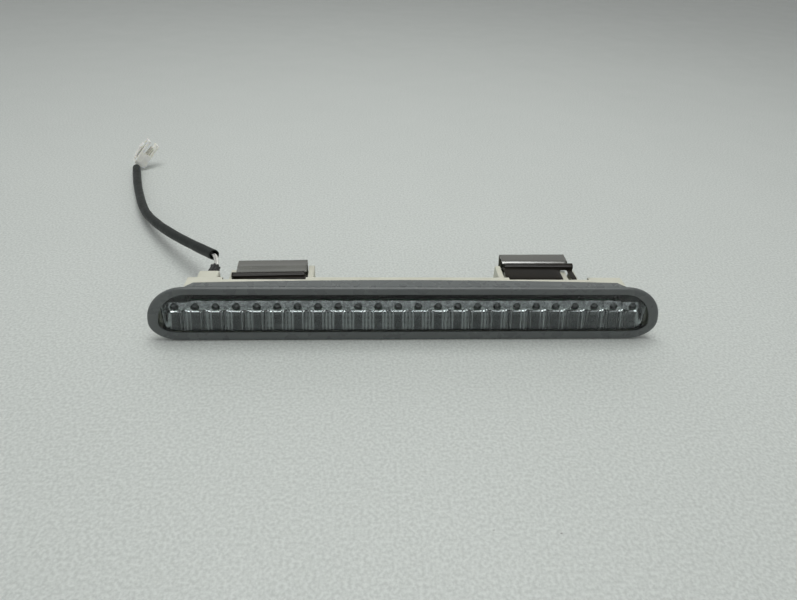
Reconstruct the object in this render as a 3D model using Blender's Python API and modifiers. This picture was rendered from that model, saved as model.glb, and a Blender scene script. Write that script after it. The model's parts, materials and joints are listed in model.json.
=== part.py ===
"""Third brake light: a smoked lens over a row of LEDs, in a cream housing held by two spring clips.

Metres, +Z up. +X runs along the lamp, the lens faces -Y and the clips point to +Y.
The origin is the middle of the flat lower edge of the lens flange, where the lamp rests.
"""

import math

import bmesh
import bpy
from mathutils import Matrix, Vector

MM = 0.001
GAP = 0.3 * MM

# Lens outline, seen from the front
LENS_HALF_WIDTH = 175.7 * MM
LENS_HEIGHT = 43.4 * MM
WIDEST_Z = 14.1 * MM
UPPER_CORNER_X = 28.6 * MM
LOWER_CORNER_X = 19.6 * MM
CORNER_STEPS = 8
MIDDLE_Z = 21.7 * MM

# Lens depth
FRONT_Y = -3.0 * MM
SEAT_Y = 1.0 * MM
PLATE_BACK_Y = -0.5 * MM
LIP_WIDTH = 3.0 * MM
SKIRT_DROP = 1.2 * MM
RAIL_HALF_LENGTH = 147.5 * MM
RAIL_BACK_HALF_LENGTH = 143.0 * MM
RAIL_BACK_Y = 8.8 * MM
RAIL_BOW = 3.3 * MM
RAIL_THICKNESS = 1.8 * MM
RAIL_INSET = 1.0 * MM
RIM_ROUNDING = [(2.2 * MM, 0.0), (0.9 * MM, 0.25 * MM), (0.2 * MM, 0.8 * MM), (0.0, 1.6 * MM)]
SEAL_CLEARANCE = 1.1 * MM

# Housing
TRAY_INSET = LIP_WIDTH + SEAL_CLEARANCE
WINDOW_INSET = 6.5 * MM
TRAY_FRONT_Y = PLATE_BACK_Y + GAP
TRAY_BACK_Y = 3.2 * MM
WALL = 2.0 * MM
BOX_HALF = 150.0 * MM
BOX_LOW_Z = 4.0 * MM
BOX_HIGH_Z = LENS_HEIGHT - RAIL_INSET - RAIL_THICKNESS - 2 * GAP
BOX_BACK_Y = 17.0 * MM
NOSE_HALF = 167.5 * MM
NOSE_LOW_Z = 10.5 * MM
NOSE_HIGH_Z = 30.5 * MM
NOSE_BACK_Y = 13.0 * MM
BACK_RIB_PITCH = 24.0 * MM
BACK_RIB_COUNT = 6
BACK_RIB_THICKNESS = 1.6 * MM
BACK_RIB_HALF_HEIGHT = 11.5 * MM
BACK_RIB_BACK_Y = 19.4 * MM
POCKET_FRONT_Y = 13.2 * MM
POCKET_HALF_HEIGHT = 8.4 * MM
POCKET_HALF_WIDTH = 28.0 * MM
BODY_ROUNDING = 1.5 * MM
TOWER_ROUNDING = 0.8 * MM
OVERLAP = 1.0 * MM

# LEDs, reflector and board
LED_COUNT = 24
LED_PITCH = 13.8 * MM
LED_RADIUS = 2.5 * MM
LED_Z = 22.3 * MM
LED_TIP_Y = 4.2 * MM
LED_FLANGE_RADIUS = 2.9 * MM
LED_FLANGE = 0.9 * MM
CUP_FRONT_Y = 0.5 * MM
CUP_PLANE_Y = 5.6 * MM
CUP_WALL = 0.8 * MM
CUP_PLANE_HALF = 3.2 * MM
CUP_DEPTH_BELOW = 14.0 * MM
CUP_DEPTH_IN_NOSE = 8.4 * MM
CUP_TOP = 5.0 * MM
CUP_SCALLOP = 1.0 * MM
CUP_COLUMNS = 4
CUP_ROWS = 6
BOARD_FRONT_Y = 8.9 * MM
BOARD_THICKNESS = 1.2 * MM
BOARD_HALF_HEIGHT = 5.7 * MM
BOARD_HALF_LENGTH = 164.0 * MM
BOARD_Z = 20.5 * MM
SCREW_PLACES = [-9, -4, 4, 9]
SCREW_RADIUS = 1.1 * MM
SCREW_HEAD_RADIUS = 2.1 * MM
SCREW_HEAD = 0.7 * MM
SCREW_SHANK = 4.6 * MM
SCREW_HOLE = 1.4 * MM
BOSS_RADIUS = 2.9 * MM
RESISTOR_PLACES = [-90 * MM, -30 * MM, 30 * MM, 90 * MM]
RESISTOR_SIZE = (3.2 * MM, 0.6 * MM, 1.6 * MM)
DIODE_X = -112 * MM
DIODE_SIZE = (4.4 * MM, 2.0 * MM, 2.6 * MM)

# Spring clips and their towers
CLIP_X = 96.6 * MM
CLIP_HALF_WIDTH = 24.75 * MM
CLIP_TOP_Z = 34.0 * MM
CLIP_LENGTH = 34.0 * MM
CLIP_SHEET = 0.8 * MM
CLIP_BEND_DROP = 0.9 * MM
ROLL_RADIUS = 2.4 * MM
ROLL_OVERHANG = 3.0 * MM
TONGUE_EDGE = 16.5 * MM
LEG_EDGES = (22.8 * MM, 26.6 * MM)
TONGUE_DROP = 0.3 * MM
CLIP_DISH = 2.5 * MM
LEFT_CREST_Y = 49.2 * MM
LEFT_FOLD = (8.8 * MM, 13.6 * MM)
LEFT_ROLL = (16.8 * MM, 30.9 * MM)
LEFT_CLIP_TURN = 2.0
RIGHT_CREST_Y = 58.8 * MM
RIGHT_FOLD = (10.6 * MM, 12.4 * MM)
RIGHT_ROLL = (14.6 * MM, 31.3 * MM)
RIGHT_CLIP_TURN = 0.6
RIB_GAP = 1.2 * MM
RIB_THICKNESS = 4.3 * MM
RIB_BACK_Y = 45.4 * MM
RIB_HALF_HEIGHT = 9.9 * MM
OUTER_RIB_HALF_HEIGHT = 6.0 * MM
CORE_BACK_Y = 44.0 * MM
CORE_HALF_HEIGHT = 6.4 * MM
CORE_HALF_WIDTH = 23.0 * MM

# Cable outlet, cable and plug
OUTLET_X = -138.0 * MM
OUTLET_Z = 30.0 * MM
OUTLET_HALF = 7.2 * MM
OUTLET_BACK_Y = 29.5 * MM
OUTLET_BORE = 2.7 * MM
BOOT_RADIUS = 3.9 * MM
BOOT_VALLEY = 3.1 * MM
BOOT_NECK = 2.4 * MM
BOOT_BORE = 1.9 * MM
BOOT_NECK_Y = 22.0 * MM
BOOT_END_Y = 45.0 * MM
CABLE_PIVOT = Vector((OUTLET_X, BOOT_END_Y + 0.4 * MM, OUTLET_Z))
WIRE_RADIUS = 0.75 * MM
WIRE_SPACING = 0.85 * MM
WIRE_SPAN_STEPS = 5
SLEEVE_RADIUS = 4.0 * MM
SLEEVE_WALL = 0.8 * MM
PLUG_POINT = Vector((-273.2, 295.0, 5.8)) * MM
PLUG_AXIS = Vector((0.651, 0.325, 0.687)).normalized()
PLUG_UP = Vector((-0.61, -0.30, 0.73)).normalized()
PLUG_LENGTH = 28.0 * MM
PLUG_BODY = 14.0 * MM
PLUG_HALF_WIDTH = 5.5 * MM
PLUG_HALF_HEIGHT = 6.0 * MM
PLUG_WALL = 2.4 * MM
CAVITY_OFFSET = 2.7 * MM
TERMINAL_HALF = Vector((7.8, 1.15, 0.4)) * MM
LATCH_ROOT = 4.0 * MM
LATCH_FOOT = 2.2 * MM
LATCH_TIP = 25.5 * MM
LATCH_HALF_WIDTH = 2.6 * MM
LATCH_SHEET = 1.3 * MM
LATCH_TOOTH = (20.0 * MM, 22.5 * MM)

SMOOTH_ANGLE = math.radians(40)
LED_STEPS = 10
BOOT_STEPS = 12
WELD = 0.001 * MM


# ---------------------------------------------------------------- scene helpers


def clear_scene():
    for obj in list(bpy.data.objects):
        bpy.data.objects.remove(obj, do_unlink=True)


def new_collection(name):
    collection = bpy.data.collections.new(name)
    bpy.context.scene.collection.children.link(collection)
    return collection


def plastic(name, colour, roughness, metallic=0.0):
    material = bpy.data.materials.new(name)
    material.use_nodes = True
    shader = material.node_tree.nodes["Principled BSDF"]
    shader.inputs["Base Color"].default_value = (*colour, 1.0)
    shader.inputs["Roughness"].default_value = roughness
    shader.inputs["Metallic"].default_value = metallic
    return material


def smoked_plastic():
    material = plastic("smoked_lens", (0.05, 0.055, 0.06), 0.08)
    material.node_tree.nodes["Principled BSDF"].inputs["Transmission Weight"].default_value = 0.8
    return material


def place(name, mesh, material, collection, matrix=None):
    """A named object of the mesh, shaded smooth up to 40 degrees."""
    if not mesh.materials:
        mesh.materials.append(material)
    mesh.shade_smooth()
    mesh.set_sharp_from_angle(angle=SMOOTH_ANGLE)
    obj = bpy.data.objects.new(name, mesh)
    if matrix is not None:
        obj.matrix_world = matrix
    collection.objects.link(obj)
    return obj


def put_origin(obj, point):
    """Moves the object's origin to the point and leaves its shape where it is."""
    obj.data.transform(Matrix.Translation(obj.location - point))
    obj.location = point


def mesh_from(bm, name):
    bmesh.ops.recalc_face_normals(bm, faces=bm.faces)
    mesh = bpy.data.meshes.new(name)
    bm.to_mesh(mesh)
    bm.free()
    return mesh


def add_box(bm, low, high):
    size = Vector(high) - Vector(low)
    centre = (Vector(high) + Vector(low)) / 2
    matrix = Matrix.Translation(centre) @ Matrix.Diagonal((*size, 1.0))
    bmesh.ops.create_cube(bm, size=1.0, matrix=matrix)


def box_mesh(name, low, high):
    bm = bmesh.new()
    add_box(bm, low, high)
    return mesh_from(bm, name)


def add_rod(bm, centre, radius, length, along, segments=16):
    """A capped cylinder about centre, along X or Y."""
    turn = Matrix.Rotation(math.radians(90), 4, "Y" if along == "X" else "X")
    matrix = Matrix.Translation(Vector(centre)) @ turn
    bmesh.ops.create_cone(
        bm,
        cap_ends=True,
        segments=segments,
        radius1=radius,
        radius2=radius,
        depth=length,
        matrix=matrix,
    )


def loft_mesh(name, rings, capped=True):
    """A skin over rings of equal count; capped at both ends, or closed on itself."""
    bm = bmesh.new()
    rows = [[bm.verts.new(point) for point in ring] for ring in rings]
    pairs = list(zip(rows, rows[1:]))
    if not capped:
        pairs.append((rows[-1], rows[0]))
    for near, far in pairs:
        for i in range(len(near)):
            j = (i + 1) % len(near)
            bm.faces.new((near[i], near[j], far[j], far[i]))
    if capped:
        bm.faces.new(rows[0])
        bm.faces.new(rows[-1])
    return mesh_from(bm, name)


def boolean(obj, tool, operation):
    """Keeps a Boolean with the tool, which is hidden from renders."""
    tool.hide_render = True
    tool.display_type = "WIRE"
    modifier = obj.modifiers.new(tool.name, "BOOLEAN")
    modifier.operation = operation
    modifier.solver = "EXACT"
    modifier.object = tool


def turned(name, profile, steps, material, collection, matrix, closed=False):
    """A profile of (radius, height) pairs turned about Z, from the top down its outer side."""
    mesh = bpy.data.meshes.new(name)
    points = [(radius, 0.0, height) for radius, height in profile]
    edges = [(i, i + 1) for i in range(len(points) - 1)]
    if closed:
        edges.append((len(points) - 1, 0))
    mesh.from_pydata(points, edges, [])
    obj = place(name, mesh, material, collection, matrix)
    screw = obj.modifiers.new("turn", "SCREW")
    screw.steps = steps
    screw.render_steps = steps
    screw.use_smooth_shade = True
    screw.use_merge_vertices = True
    screw.merge_threshold = 0.01 * MM
    return obj


def spline_through(points, per_span):
    """A smooth curve through the points, its slope at each one shared between its two spans."""
    ends = [2 * points[0] - points[1]] + points + [2 * points[-1] - points[-2]]
    path = []
    for a, b, c, d in zip(ends, ends[1:], ends[2:], ends[3:]):
        span = (c - b).length
        leaving = (c - a) * (span / ((b - a).length + span))
        arriving = (d - b) * (span / ((d - c).length + span))
        for i in range(per_span):
            t = i / per_span
            point = b + (c - b) * (3 - 2 * t) * t * t
            point += leaving * t * (1 - t) ** 2
            point -= arriving * t * t * (1 - t)
            path.append(point)
    path.append(points[-1])
    return path


def tube_curve(name, path, radius, sides, capped, collection):
    """A round wire along the path, as a curve object."""
    curve = bpy.data.curves.new(name, "CURVE")
    curve.dimensions = "3D"
    curve.bevel_depth = radius
    curve.bevel_resolution = (sides - 4) // 2
    curve.use_fill_caps = capped
    spline = curve.splines.new("POLY")
    spline.points.add(len(path) - 1)
    for point, place_at in zip(spline.points, path):
        point.co = (*place_at, 1.0)
    obj = bpy.data.objects.new(name, curve)
    collection.objects.link(obj)
    return obj


def curve_to_mesh(curve_object, name):
    """The curve's evaluated mesh with its caps welded; the curve is removed."""
    bpy.context.view_layer.update()
    graph = bpy.context.evaluated_depsgraph_get()
    mesh = bpy.data.meshes.new_from_object(curve_object.evaluated_get(graph))
    mesh.name = name
    bm = bmesh.new()
    bm.from_mesh(mesh)
    bmesh.ops.remove_doubles(bm, verts=bm.verts, dist=WELD)
    bm.to_mesh(mesh)
    bm.free()
    mesh.materials.clear()
    bpy.data.objects.remove(curve_object, do_unlink=True)
    return mesh


# ---------------------------------------------------------------- lens outline


def corner(centre_x, centre_z, half_x, half_z, start, inset):
    """A quarter of an ellipse, pulled in square to itself by the inset."""
    points = []
    for i in range(CORNER_STEPS + 1):
        angle = math.radians(start + 90 * i / CORNER_STEPS)
        normal = Vector((math.cos(angle) / half_x, math.sin(angle) / half_z)).normalized()
        edge = Vector((centre_x + half_x * math.cos(angle), centre_z + half_z * math.sin(angle)))
        points.append(edge - normal * inset)
    return points


def lens_outline(inset):
    """(x, z) points round the lens, anticlockwise from the middle of the lower right corner."""
    upper_x = LENS_HALF_WIDTH - UPPER_CORNER_X
    lower_x = LENS_HALF_WIDTH - LOWER_CORNER_X
    upper_z = LENS_HEIGHT - WIDEST_Z
    return (
        corner(lower_x, WIDEST_Z, LOWER_CORNER_X, WIDEST_Z, -90, inset)
        + corner(upper_x, WIDEST_Z, UPPER_CORNER_X, upper_z, 0, inset)[1:]
        + corner(-upper_x, WIDEST_Z, UPPER_CORNER_X, upper_z, 90, inset)
        + corner(-lower_x, WIDEST_Z, LOWER_CORNER_X, WIDEST_Z, 180, inset)[1:]
    )


def outline_ring(inset, y, drop=0.0):
    """The outline at one depth; the drop lowers its upper part, most at the top."""
    ring = []
    for point in lens_outline(inset):
        up = max(0.0, (point.y - WIDEST_Z) / (LENS_HEIGHT - WIDEST_Z))
        ring.append(Vector((point.x, y, point.y - drop * up * up)))
    return ring


def outline_limits(inset, x):
    """Lowest and highest z of the inset outline at x."""

    def reach(corner_x, half_z, edge):
        flat = LENS_HALF_WIDTH - corner_x
        past = (abs(x) - flat) / (corner_x - inset)
        return edge * math.sqrt(max(0.0, 1 - past * past)) if past > 0 else edge

    low = WIDEST_Z - reach(LOWER_CORNER_X, WIDEST_Z, WIDEST_Z - inset)
    upper_z = LENS_HEIGHT - WIDEST_Z
    high = WIDEST_Z + reach(UPPER_CORNER_X, upper_z, upper_z - inset)
    return low, high


# ---------------------------------------------------------------- lens and seal


def rail_mesh(name, low_z, high_z):
    """A stiffening rail behind the flange, with slanted ends and a gently bowed back edge."""
    steps = 8
    back = []
    for i in range(steps + 1):
        along = -1 + 2 * i / steps
        back.append((RAIL_BACK_HALF_LENGTH * along, RAIL_BACK_Y - RAIL_BOW * along * along))
    root_y = SEAT_Y - GAP
    plan = [(RAIL_HALF_LENGTH, root_y), (-RAIL_HALF_LENGTH, root_y)] + back
    rings = [[Vector((x, y, z)) for x, y in plan] for z in (low_z, high_z)]
    return loft_mesh(name, rings)


def outer_lens(material, parts, cutters):
    """The smoked front: a plate with a rounded rim, a lip round its back, and two rails."""
    rings = [outline_ring(inset, FRONT_Y + depth) for inset, depth in RIM_ROUNDING]
    rings += [
        outline_ring(0.0, SEAT_Y, SKIRT_DROP),
        outline_ring(LIP_WIDTH, SEAT_Y),
        outline_ring(LIP_WIDTH, PLATE_BACK_Y),
    ]
    lens = place("outer_lens", loft_mesh("outer_lens", rings), material, parts)
    for side, low in (("lower", RAIL_INSET), ("upper", LENS_HEIGHT - RAIL_INSET - RAIL_THICKNESS)):
        name = side + "_rail"
        rail = place(name, rail_mesh(name, low, low + RAIL_THICKNESS), material, cutters)
        boolean(lens, rail, "UNION")
    return lens


def lens_seal(material, parts):
    """The butyl bead between the lens's lip and the housing's tray."""
    outer = LIP_WIDTH + GAP
    inner = TRAY_INSET - GAP
    front = PLATE_BACK_Y + GAP
    back = SEAT_Y - GAP
    rings = [
        outline_ring(outer, front),
        outline_ring(outer, back),
        outline_ring(inner, back),
        outline_ring(inner, front),
    ]
    return place("lens_seal", loft_mesh("lens_seal", rings, capped=False), material, parts)


# ---------------------------------------------------------------- housing


def housing_shell():
    """The outside of the housing, as lists of box corners."""
    front = TRAY_BACK_Y - OVERLAP
    return [
        ("box", (-BOX_HALF, front, BOX_LOW_Z), (BOX_HALF, BOX_BACK_Y, BOX_HIGH_Z)),
        ("nose", (-NOSE_HALF, front, NOSE_LOW_Z), (NOSE_HALF, NOSE_BACK_Y, NOSE_HIGH_Z)),
    ]


def housing_spaces():
    """The hollows of the box, the low ends and the two cores, as lists of box corners."""
    front = TRAY_FRONT_Y + OVERLAP
    spaces = [
        (
            "box_space",
            (-BOX_HALF + WALL, front, BOX_LOW_Z + WALL),
            (BOX_HALF - WALL, BOX_BACK_Y - WALL, BOX_HIGH_Z - WALL),
        ),
        (
            "nose_space",
            (-NOSE_HALF + WALL, front + OVERLAP / 10, NOSE_LOW_Z + WALL),
            (NOSE_HALF - WALL, NOSE_BACK_Y - 0.75 * WALL, NOSE_HIGH_Z - WALL),
        ),
    ]
    half = CORE_HALF_WIDTH - WALL
    height = CORE_HALF_HEIGHT - WALL
    for side, name in ((-1, "left_core_space"), (1, "right_core_space")):
        low = (side * CLIP_X - half, BOX_BACK_Y + WALL, MIDDLE_Z - height)
        high = (side * CLIP_X + half, CORE_BACK_Y + WALL, MIDDLE_Z + height)
        spaces.append((name, low, high))
    return spaces


def pocket_mesh(name, side, grown):
    """Two slots in the housing's back, above and below the core, for a clip's tongues and legs."""
    bm = bmesh.new()
    centre = side * (CLIP_X + ROLL_OVERHANG / 2)
    half = POCKET_HALF_WIDTH + grown
    back = BOX_BACK_Y - WALL / 2 if grown else BOX_BACK_Y + WALL
    for direction in (-1, 1):
        near = MIDDLE_Z + direction * (POCKET_HALF_HEIGHT - grown)
        edge = BOX_HIGH_Z if direction > 0 else BOX_LOW_Z
        far = edge - direction * WALL / 2 if grown else edge + direction * WALL
        low_z, high_z = sorted((near, far))
        add_box(
            bm,
            (centre - half, POCKET_FRONT_Y - grown, low_z),
            (centre + half, back, high_z),
        )
    return mesh_from(bm, name)


def bevelled(obj, width):
    bevel = obj.modifiers.new("round_edges", "BEVEL")
    bevel.width = width
    bevel.segments = 2
    bevel.limit_method = "ANGLE"
    return obj


def tower_mesh(name, side):
    """Two side ribs and a core block that a clip slides over; the outer rib clears the hem."""
    bm = bmesh.new()
    root_y = BOX_BACK_Y - WALL / 2
    for direction, half_height in ((-1, RIB_HALF_HEIGHT), (1, OUTER_RIB_HALF_HEIGHT)):
        near = CLIP_X + direction * (CLIP_HALF_WIDTH + RIB_GAP)
        far = near + direction * RIB_THICKNESS
        xs = sorted((side * near, side * far))
        add_box(
            bm,
            (xs[0], root_y, MIDDLE_Z - half_height),
            (xs[1], RIB_BACK_Y, MIDDLE_Z + half_height),
        )
    centre = side * CLIP_X
    add_box(
        bm,
        (centre - CORE_HALF_WIDTH, root_y, MIDDLE_Z - CORE_HALF_HEIGHT),
        (centre + CORE_HALF_WIDTH, CORE_BACK_Y, MIDDLE_Z + CORE_HALF_HEIGHT),
    )
    return mesh_from(bm, name)


def back_ribs():
    """The stiffening ribs across the housing's back between the towers, as box corners."""
    ribs = []
    for number in range(BACK_RIB_COUNT):
        x = (number - (BACK_RIB_COUNT - 1) / 2) * BACK_RIB_PITCH
        low = (x - BACK_RIB_THICKNESS / 2, BOX_BACK_Y - WALL / 2, MIDDLE_Z - BACK_RIB_HALF_HEIGHT)
        high = (x + BACK_RIB_THICKNESS / 2, BACK_RIB_BACK_Y, MIDDLE_Z + BACK_RIB_HALF_HEIGHT)
        ribs.append((low, high))
    return ribs


def housing(material, parts, cutters):
    """The cream housing: a tray behind the lens, a box, low ends, bosses, towers and a cable outlet."""
    tray = [outline_ring(TRAY_INSET, TRAY_FRONT_Y), outline_ring(TRAY_INSET, TRAY_BACK_Y)]
    body = place("housing", loft_mesh("housing", tray), material, parts)

    for name, low, high in housing_shell():
        shell = bevelled(place(name, box_mesh(name, low, high), material, cutters), BODY_ROUNDING)
        boolean(body, shell, "UNION")
    for side, name in ((-1, "left_tower"), (1, "right_tower")):
        tower = bevelled(place(name, tower_mesh(name, side), material, cutters), TOWER_ROUNDING)
        boolean(body, tower, "UNION")
    bm = bmesh.new()
    for low, high in back_ribs():
        add_box(bm, low, high)
    ribs = place("back_ribs", mesh_from(bm, "back_ribs"), material, cutters)
    boolean(body, ribs, "UNION")
    outlet_low = (OUTLET_X - OUTLET_HALF, BOX_BACK_Y - WALL / 2, OUTLET_Z - OUTLET_HALF)
    outlet_high = (OUTLET_X + OUTLET_HALF, OUTLET_BACK_Y, OUTLET_Z + OUTLET_HALF)
    outlet = place("outlet", box_mesh("outlet", outlet_low, outlet_high), material, cutters)
    boolean(body, bevelled(outlet, BODY_ROUNDING), "UNION")

    recess = [
        outline_ring(WINDOW_INSET, TRAY_FRONT_Y - OVERLAP),
        outline_ring(WINDOW_INSET, TRAY_BACK_Y - OVERLAP),
    ]
    window = place("window", loft_mesh("window", recess), material, cutters)
    boolean(body, window, "DIFFERENCE")
    for name, low, high in housing_spaces():
        space = place(name, box_mesh(name, low, high), material, cutters)
        boolean(body, space, "DIFFERENCE")
    for side, name in ((-1, "left"), (1, "right")):
        wall_name = name + "_pocket_wall"
        wall = place(wall_name, pocket_mesh(wall_name, side, 0.8 * WALL), material, cutters)
        boolean(body, wall, "UNION")
        pocket_name = name + "_pocket"
        pocket = place(pocket_name, pocket_mesh(pocket_name, side, 0.0), material, cutters)
        boolean(body, pocket, "DIFFERENCE")
    boolean(body, screw_bosses(material, cutters), "UNION")
    boolean(body, bores(material, cutters), "DIFFERENCE")
    return body


def screw_bosses(material, cutters):
    bm = bmesh.new()
    low = BOARD_FRONT_Y + BOARD_THICKNESS + GAP
    high = BOX_BACK_Y - WALL / 2
    for place_number in SCREW_PLACES:
        centre = (place_number * LED_PITCH, (low + high) / 2, MIDDLE_Z)
        add_rod(bm, centre, BOSS_RADIUS, high - low, "Y")
    return place("screw_bosses", mesh_from(bm, "screw_bosses"), material, cutters)


def bores(material, cutters):
    """The screws' blind bores and the cable outlet's bore."""
    bm = bmesh.new()
    low = BOARD_FRONT_Y
    high = BOX_BACK_Y - 1.2 * WALL
    for place_number in SCREW_PLACES:
        centre = (place_number * LED_PITCH, (low + high) / 2, MIDDLE_Z)
        add_rod(bm, centre, SCREW_HOLE, high - low, "Y")
    low = BOX_BACK_Y - 2 * WALL
    high = OUTLET_BACK_Y + WALL
    add_rod(bm, (OUTLET_X, (low + high) / 2, OUTLET_Z), OUTLET_BORE, high - low, "Y")
    return place("bores", mesh_from(bm, "bores"), material, cutters)


# ---------------------------------------------------------------- optics and electronics


def led_x(number):
    return (number - (LED_COUNT - 1) / 2) * LED_PITCH


def cell_share(x):
    """Distance from the nearest LED as a share of half a cell, -1 to 1."""
    number = min(max(round(x / LED_PITCH + (LED_COUNT - 1) / 2), 0), LED_COUNT - 1)
    return (x - led_x(number)) / (LED_PITCH / 2)


def cup_depth_y(x, z):
    """Front surface of the reflector: a curved floor, a flat band of LEDs and a chamfer above it."""
    up = z - LED_Z
    y = CUP_PLANE_Y
    if up > CUP_PLANE_HALF:
        y += up - CUP_PLANE_HALF
    if up < -CUP_PLANE_HALF:
        deep = abs(x) < BOX_HALF - LED_PITCH / 2
        reach = CUP_DEPTH_BELOW if deep else CUP_DEPTH_IN_NOSE
        share = min(1.0, (-up - CUP_PLANE_HALF) / (reach - CUP_PLANE_HALF))
        y -= (CUP_PLANE_Y - CUP_FRONT_Y) * share ** 1.5
    if abs(x) > led_x(LED_COUNT - 1):
        y -= (y - CUP_FRONT_Y) * cell_share(x) ** 2
    return y


def reflector(material, parts, cutters):
    """The metallised strip: a shaped sheet with a hole for each LED and a scalloped top."""
    inset = WINDOW_INSET + GAP
    inside_low = BOX_LOW_Z + WALL + GAP
    count = LED_COUNT * CUP_COLUMNS
    bm = bmesh.new()
    grid = []
    for i in range(count + 1):
        x = (i / CUP_COLUMNS - LED_COUNT / 2) * LED_PITCH
        low, high = outline_limits(inset, x)
        low = max(low, inside_low)
        high = min(high, LED_Z + CUP_TOP - CUP_SCALLOP * cell_share(x) ** 2)
        column = []
        for j in range(CUP_ROWS + 1):
            z = low + (high - low) * j / CUP_ROWS
            column.append(bm.verts.new((x, cup_depth_y(x, z), z)))
        grid.append(column)
    for near, far in zip(grid, grid[1:]):
        for j in range(CUP_ROWS):
            bm.faces.new((near[j], far[j], far[j + 1], near[j + 1]))
    sheet = place("reflector", mesh_from(bm, "reflector"), material, parts)
    solidify = sheet.modifiers.new("wall", "SOLIDIFY")
    solidify.thickness = CUP_WALL
    solidify.offset = -1.0
    bm = bmesh.new()
    for number in range(LED_COUNT):
        centre = (led_x(number), CUP_PLANE_Y, LED_Z)
        add_rod(bm, centre, LED_RADIUS + GAP, CUP_PLANE_Y, "Y", 12)
    holes = place("led_holes", mesh_from(bm, "led_holes"), material, cutters)
    boolean(sheet, holes, "DIFFERENCE")
    return sheet


def leds(material, parts):
    """Clear 5 mm LEDs standing on the board, tips towards the lens."""
    height = BOARD_FRONT_Y - GAP - LED_TIP_Y
    profile = [(0.0, height)]
    for angle in (60, 30, 0):
        radius = LED_RADIUS * math.cos(math.radians(angle))
        profile.append((radius, height - LED_RADIUS * (1 - math.sin(math.radians(angle)))))
    profile += [
        (LED_RADIUS, LED_FLANGE),
        (LED_FLANGE_RADIUS, LED_FLANGE),
        (LED_FLANGE_RADIUS, 0.0),
        (0.0, 0.0),
    ]
    for number in range(LED_COUNT):
        base = Vector((led_x(number), BOARD_FRONT_Y - GAP, LED_Z))
        matrix = Matrix.Translation(base) @ Matrix.Rotation(math.radians(90), 4, "X")
        turned(f"led_{number + 1:02d}", profile, LED_STEPS, material, parts, matrix)


def circuit_board(material, parts, cutters):
    low = (-BOARD_HALF_LENGTH, BOARD_FRONT_Y, BOARD_Z - BOARD_HALF_HEIGHT)
    high = (BOARD_HALF_LENGTH, BOARD_FRONT_Y + BOARD_THICKNESS, BOARD_Z + BOARD_HALF_HEIGHT)
    board = place("circuit_board", box_mesh("circuit_board", low, high), material, parts)
    bm = bmesh.new()
    for place_number in SCREW_PLACES:
        centre = (place_number * LED_PITCH, BOARD_FRONT_Y, MIDDLE_Z)
        add_rod(bm, centre, SCREW_HOLE, 4 * BOARD_THICKNESS, "Y")
    holes = place("board_holes", mesh_from(bm, "board_holes"), material, cutters)
    boolean(board, holes, "DIFFERENCE")


def board_screws(material, parts):
    """Pan-head screws through the board into the housing's bosses."""
    top = SCREW_SHANK + SCREW_HEAD
    profile = [
        (0.0, top),
        (0.75 * SCREW_HEAD_RADIUS, top),
        (SCREW_HEAD_RADIUS, top - SCREW_HEAD / 2),
        (SCREW_HEAD_RADIUS, SCREW_SHANK),
        (SCREW_RADIUS, SCREW_SHANK),
        (SCREW_RADIUS, SCREW_RADIUS / 2),
        (0.0, 0.0),
    ]
    for number, place_number in enumerate(SCREW_PLACES):
        base = Vector((place_number * LED_PITCH, BOARD_FRONT_Y - GAP + SCREW_SHANK, MIDDLE_Z))
        matrix = Matrix.Translation(base) @ Matrix.Rotation(math.radians(90), 4, "X")
        turned(f"board_screw_{number + 1}", profile, LED_STEPS, material, parts, matrix)


def chips(material, parts):
    """Surface-mount resistors and the diode on the back of the board."""
    back = BOARD_FRONT_Y + BOARD_THICKNESS + GAP
    chosen = [(f"resistor_{i + 1}", x, RESISTOR_SIZE) for i, x in enumerate(RESISTOR_PLACES)]
    chosen.append(("diode", DIODE_X, DIODE_SIZE))
    for name, x, (length, depth, height) in chosen:
        low = (x - length / 2, back, BOARD_Z - height / 2)
        high = (x + length / 2, back + depth, BOARD_Z + height / 2)
        place(name, box_mesh(name, low, high), material, parts)


# ---------------------------------------------------------------- spring clips


def clip_mesh(name, side, fold, roll):
    """A U of spring sheet about its crest: two arms, each with a tongue, and a dished end."""
    roll_back, roll_z = roll
    tongue_z = roll_z + CLIP_SHEET / 2
    plate = [(0.0, CLIP_TOP_Z), (fold[0], CLIP_TOP_Z)]
    plate += [(fold[1], CLIP_TOP_Z - CLIP_BEND_DROP), (roll_back, tongue_z)]
    plate_columns = [-CLIP_HALF_WIDTH, TONGUE_EDGE, CLIP_HALF_WIDTH]
    tongue_end = (CLIP_LENGTH, tongue_z - TONGUE_DROP)
    bm = bmesh.new()

    def row(distance, height, columns, flip):
        z = 2 * MIDDLE_Z - height if flip else height
        return [bm.verts.new((side * across, -distance, z - MIDDLE_Z)) for across in columns]

    def strip(rows):
        for near, far in zip(rows, rows[1:]):
            for a, b, c, d in zip(near, near[1:], far[1:], far):
                bm.faces.new((a, b, c, d))

    crests = []
    for flip in (False, True):
        arm = [row(distance, height, plate_columns, flip) for distance, height in plate]
        strip(arm)
        strip([arm[-1][:2], row(*tongue_end, plate_columns[:2], flip)])
        crests.append(arm[0])
    dish = row(CLIP_DISH, MIDDLE_Z, plate_columns, False)
    strip([crests[0], dish, crests[1]])
    return mesh_from(bm, name)


def clip_hems(name, side, roll):
    """The rolled hems of both arms, longer on the outer side."""
    roll_back, roll_z = roll
    bm = bmesh.new()
    low = side * (ROLL_OVERHANG / 2 - CLIP_HALF_WIDTH)
    high = side * (ROLL_OVERHANG + CLIP_HALF_WIDTH)
    for direction in (-1, 1):
        centre = ((low + high) / 2, -roll_back, direction * (roll_z - MIDDLE_Z))
        add_rod(bm, centre, ROLL_RADIUS, abs(high - low), "X", 12)
    return mesh_from(bm, name)


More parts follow.
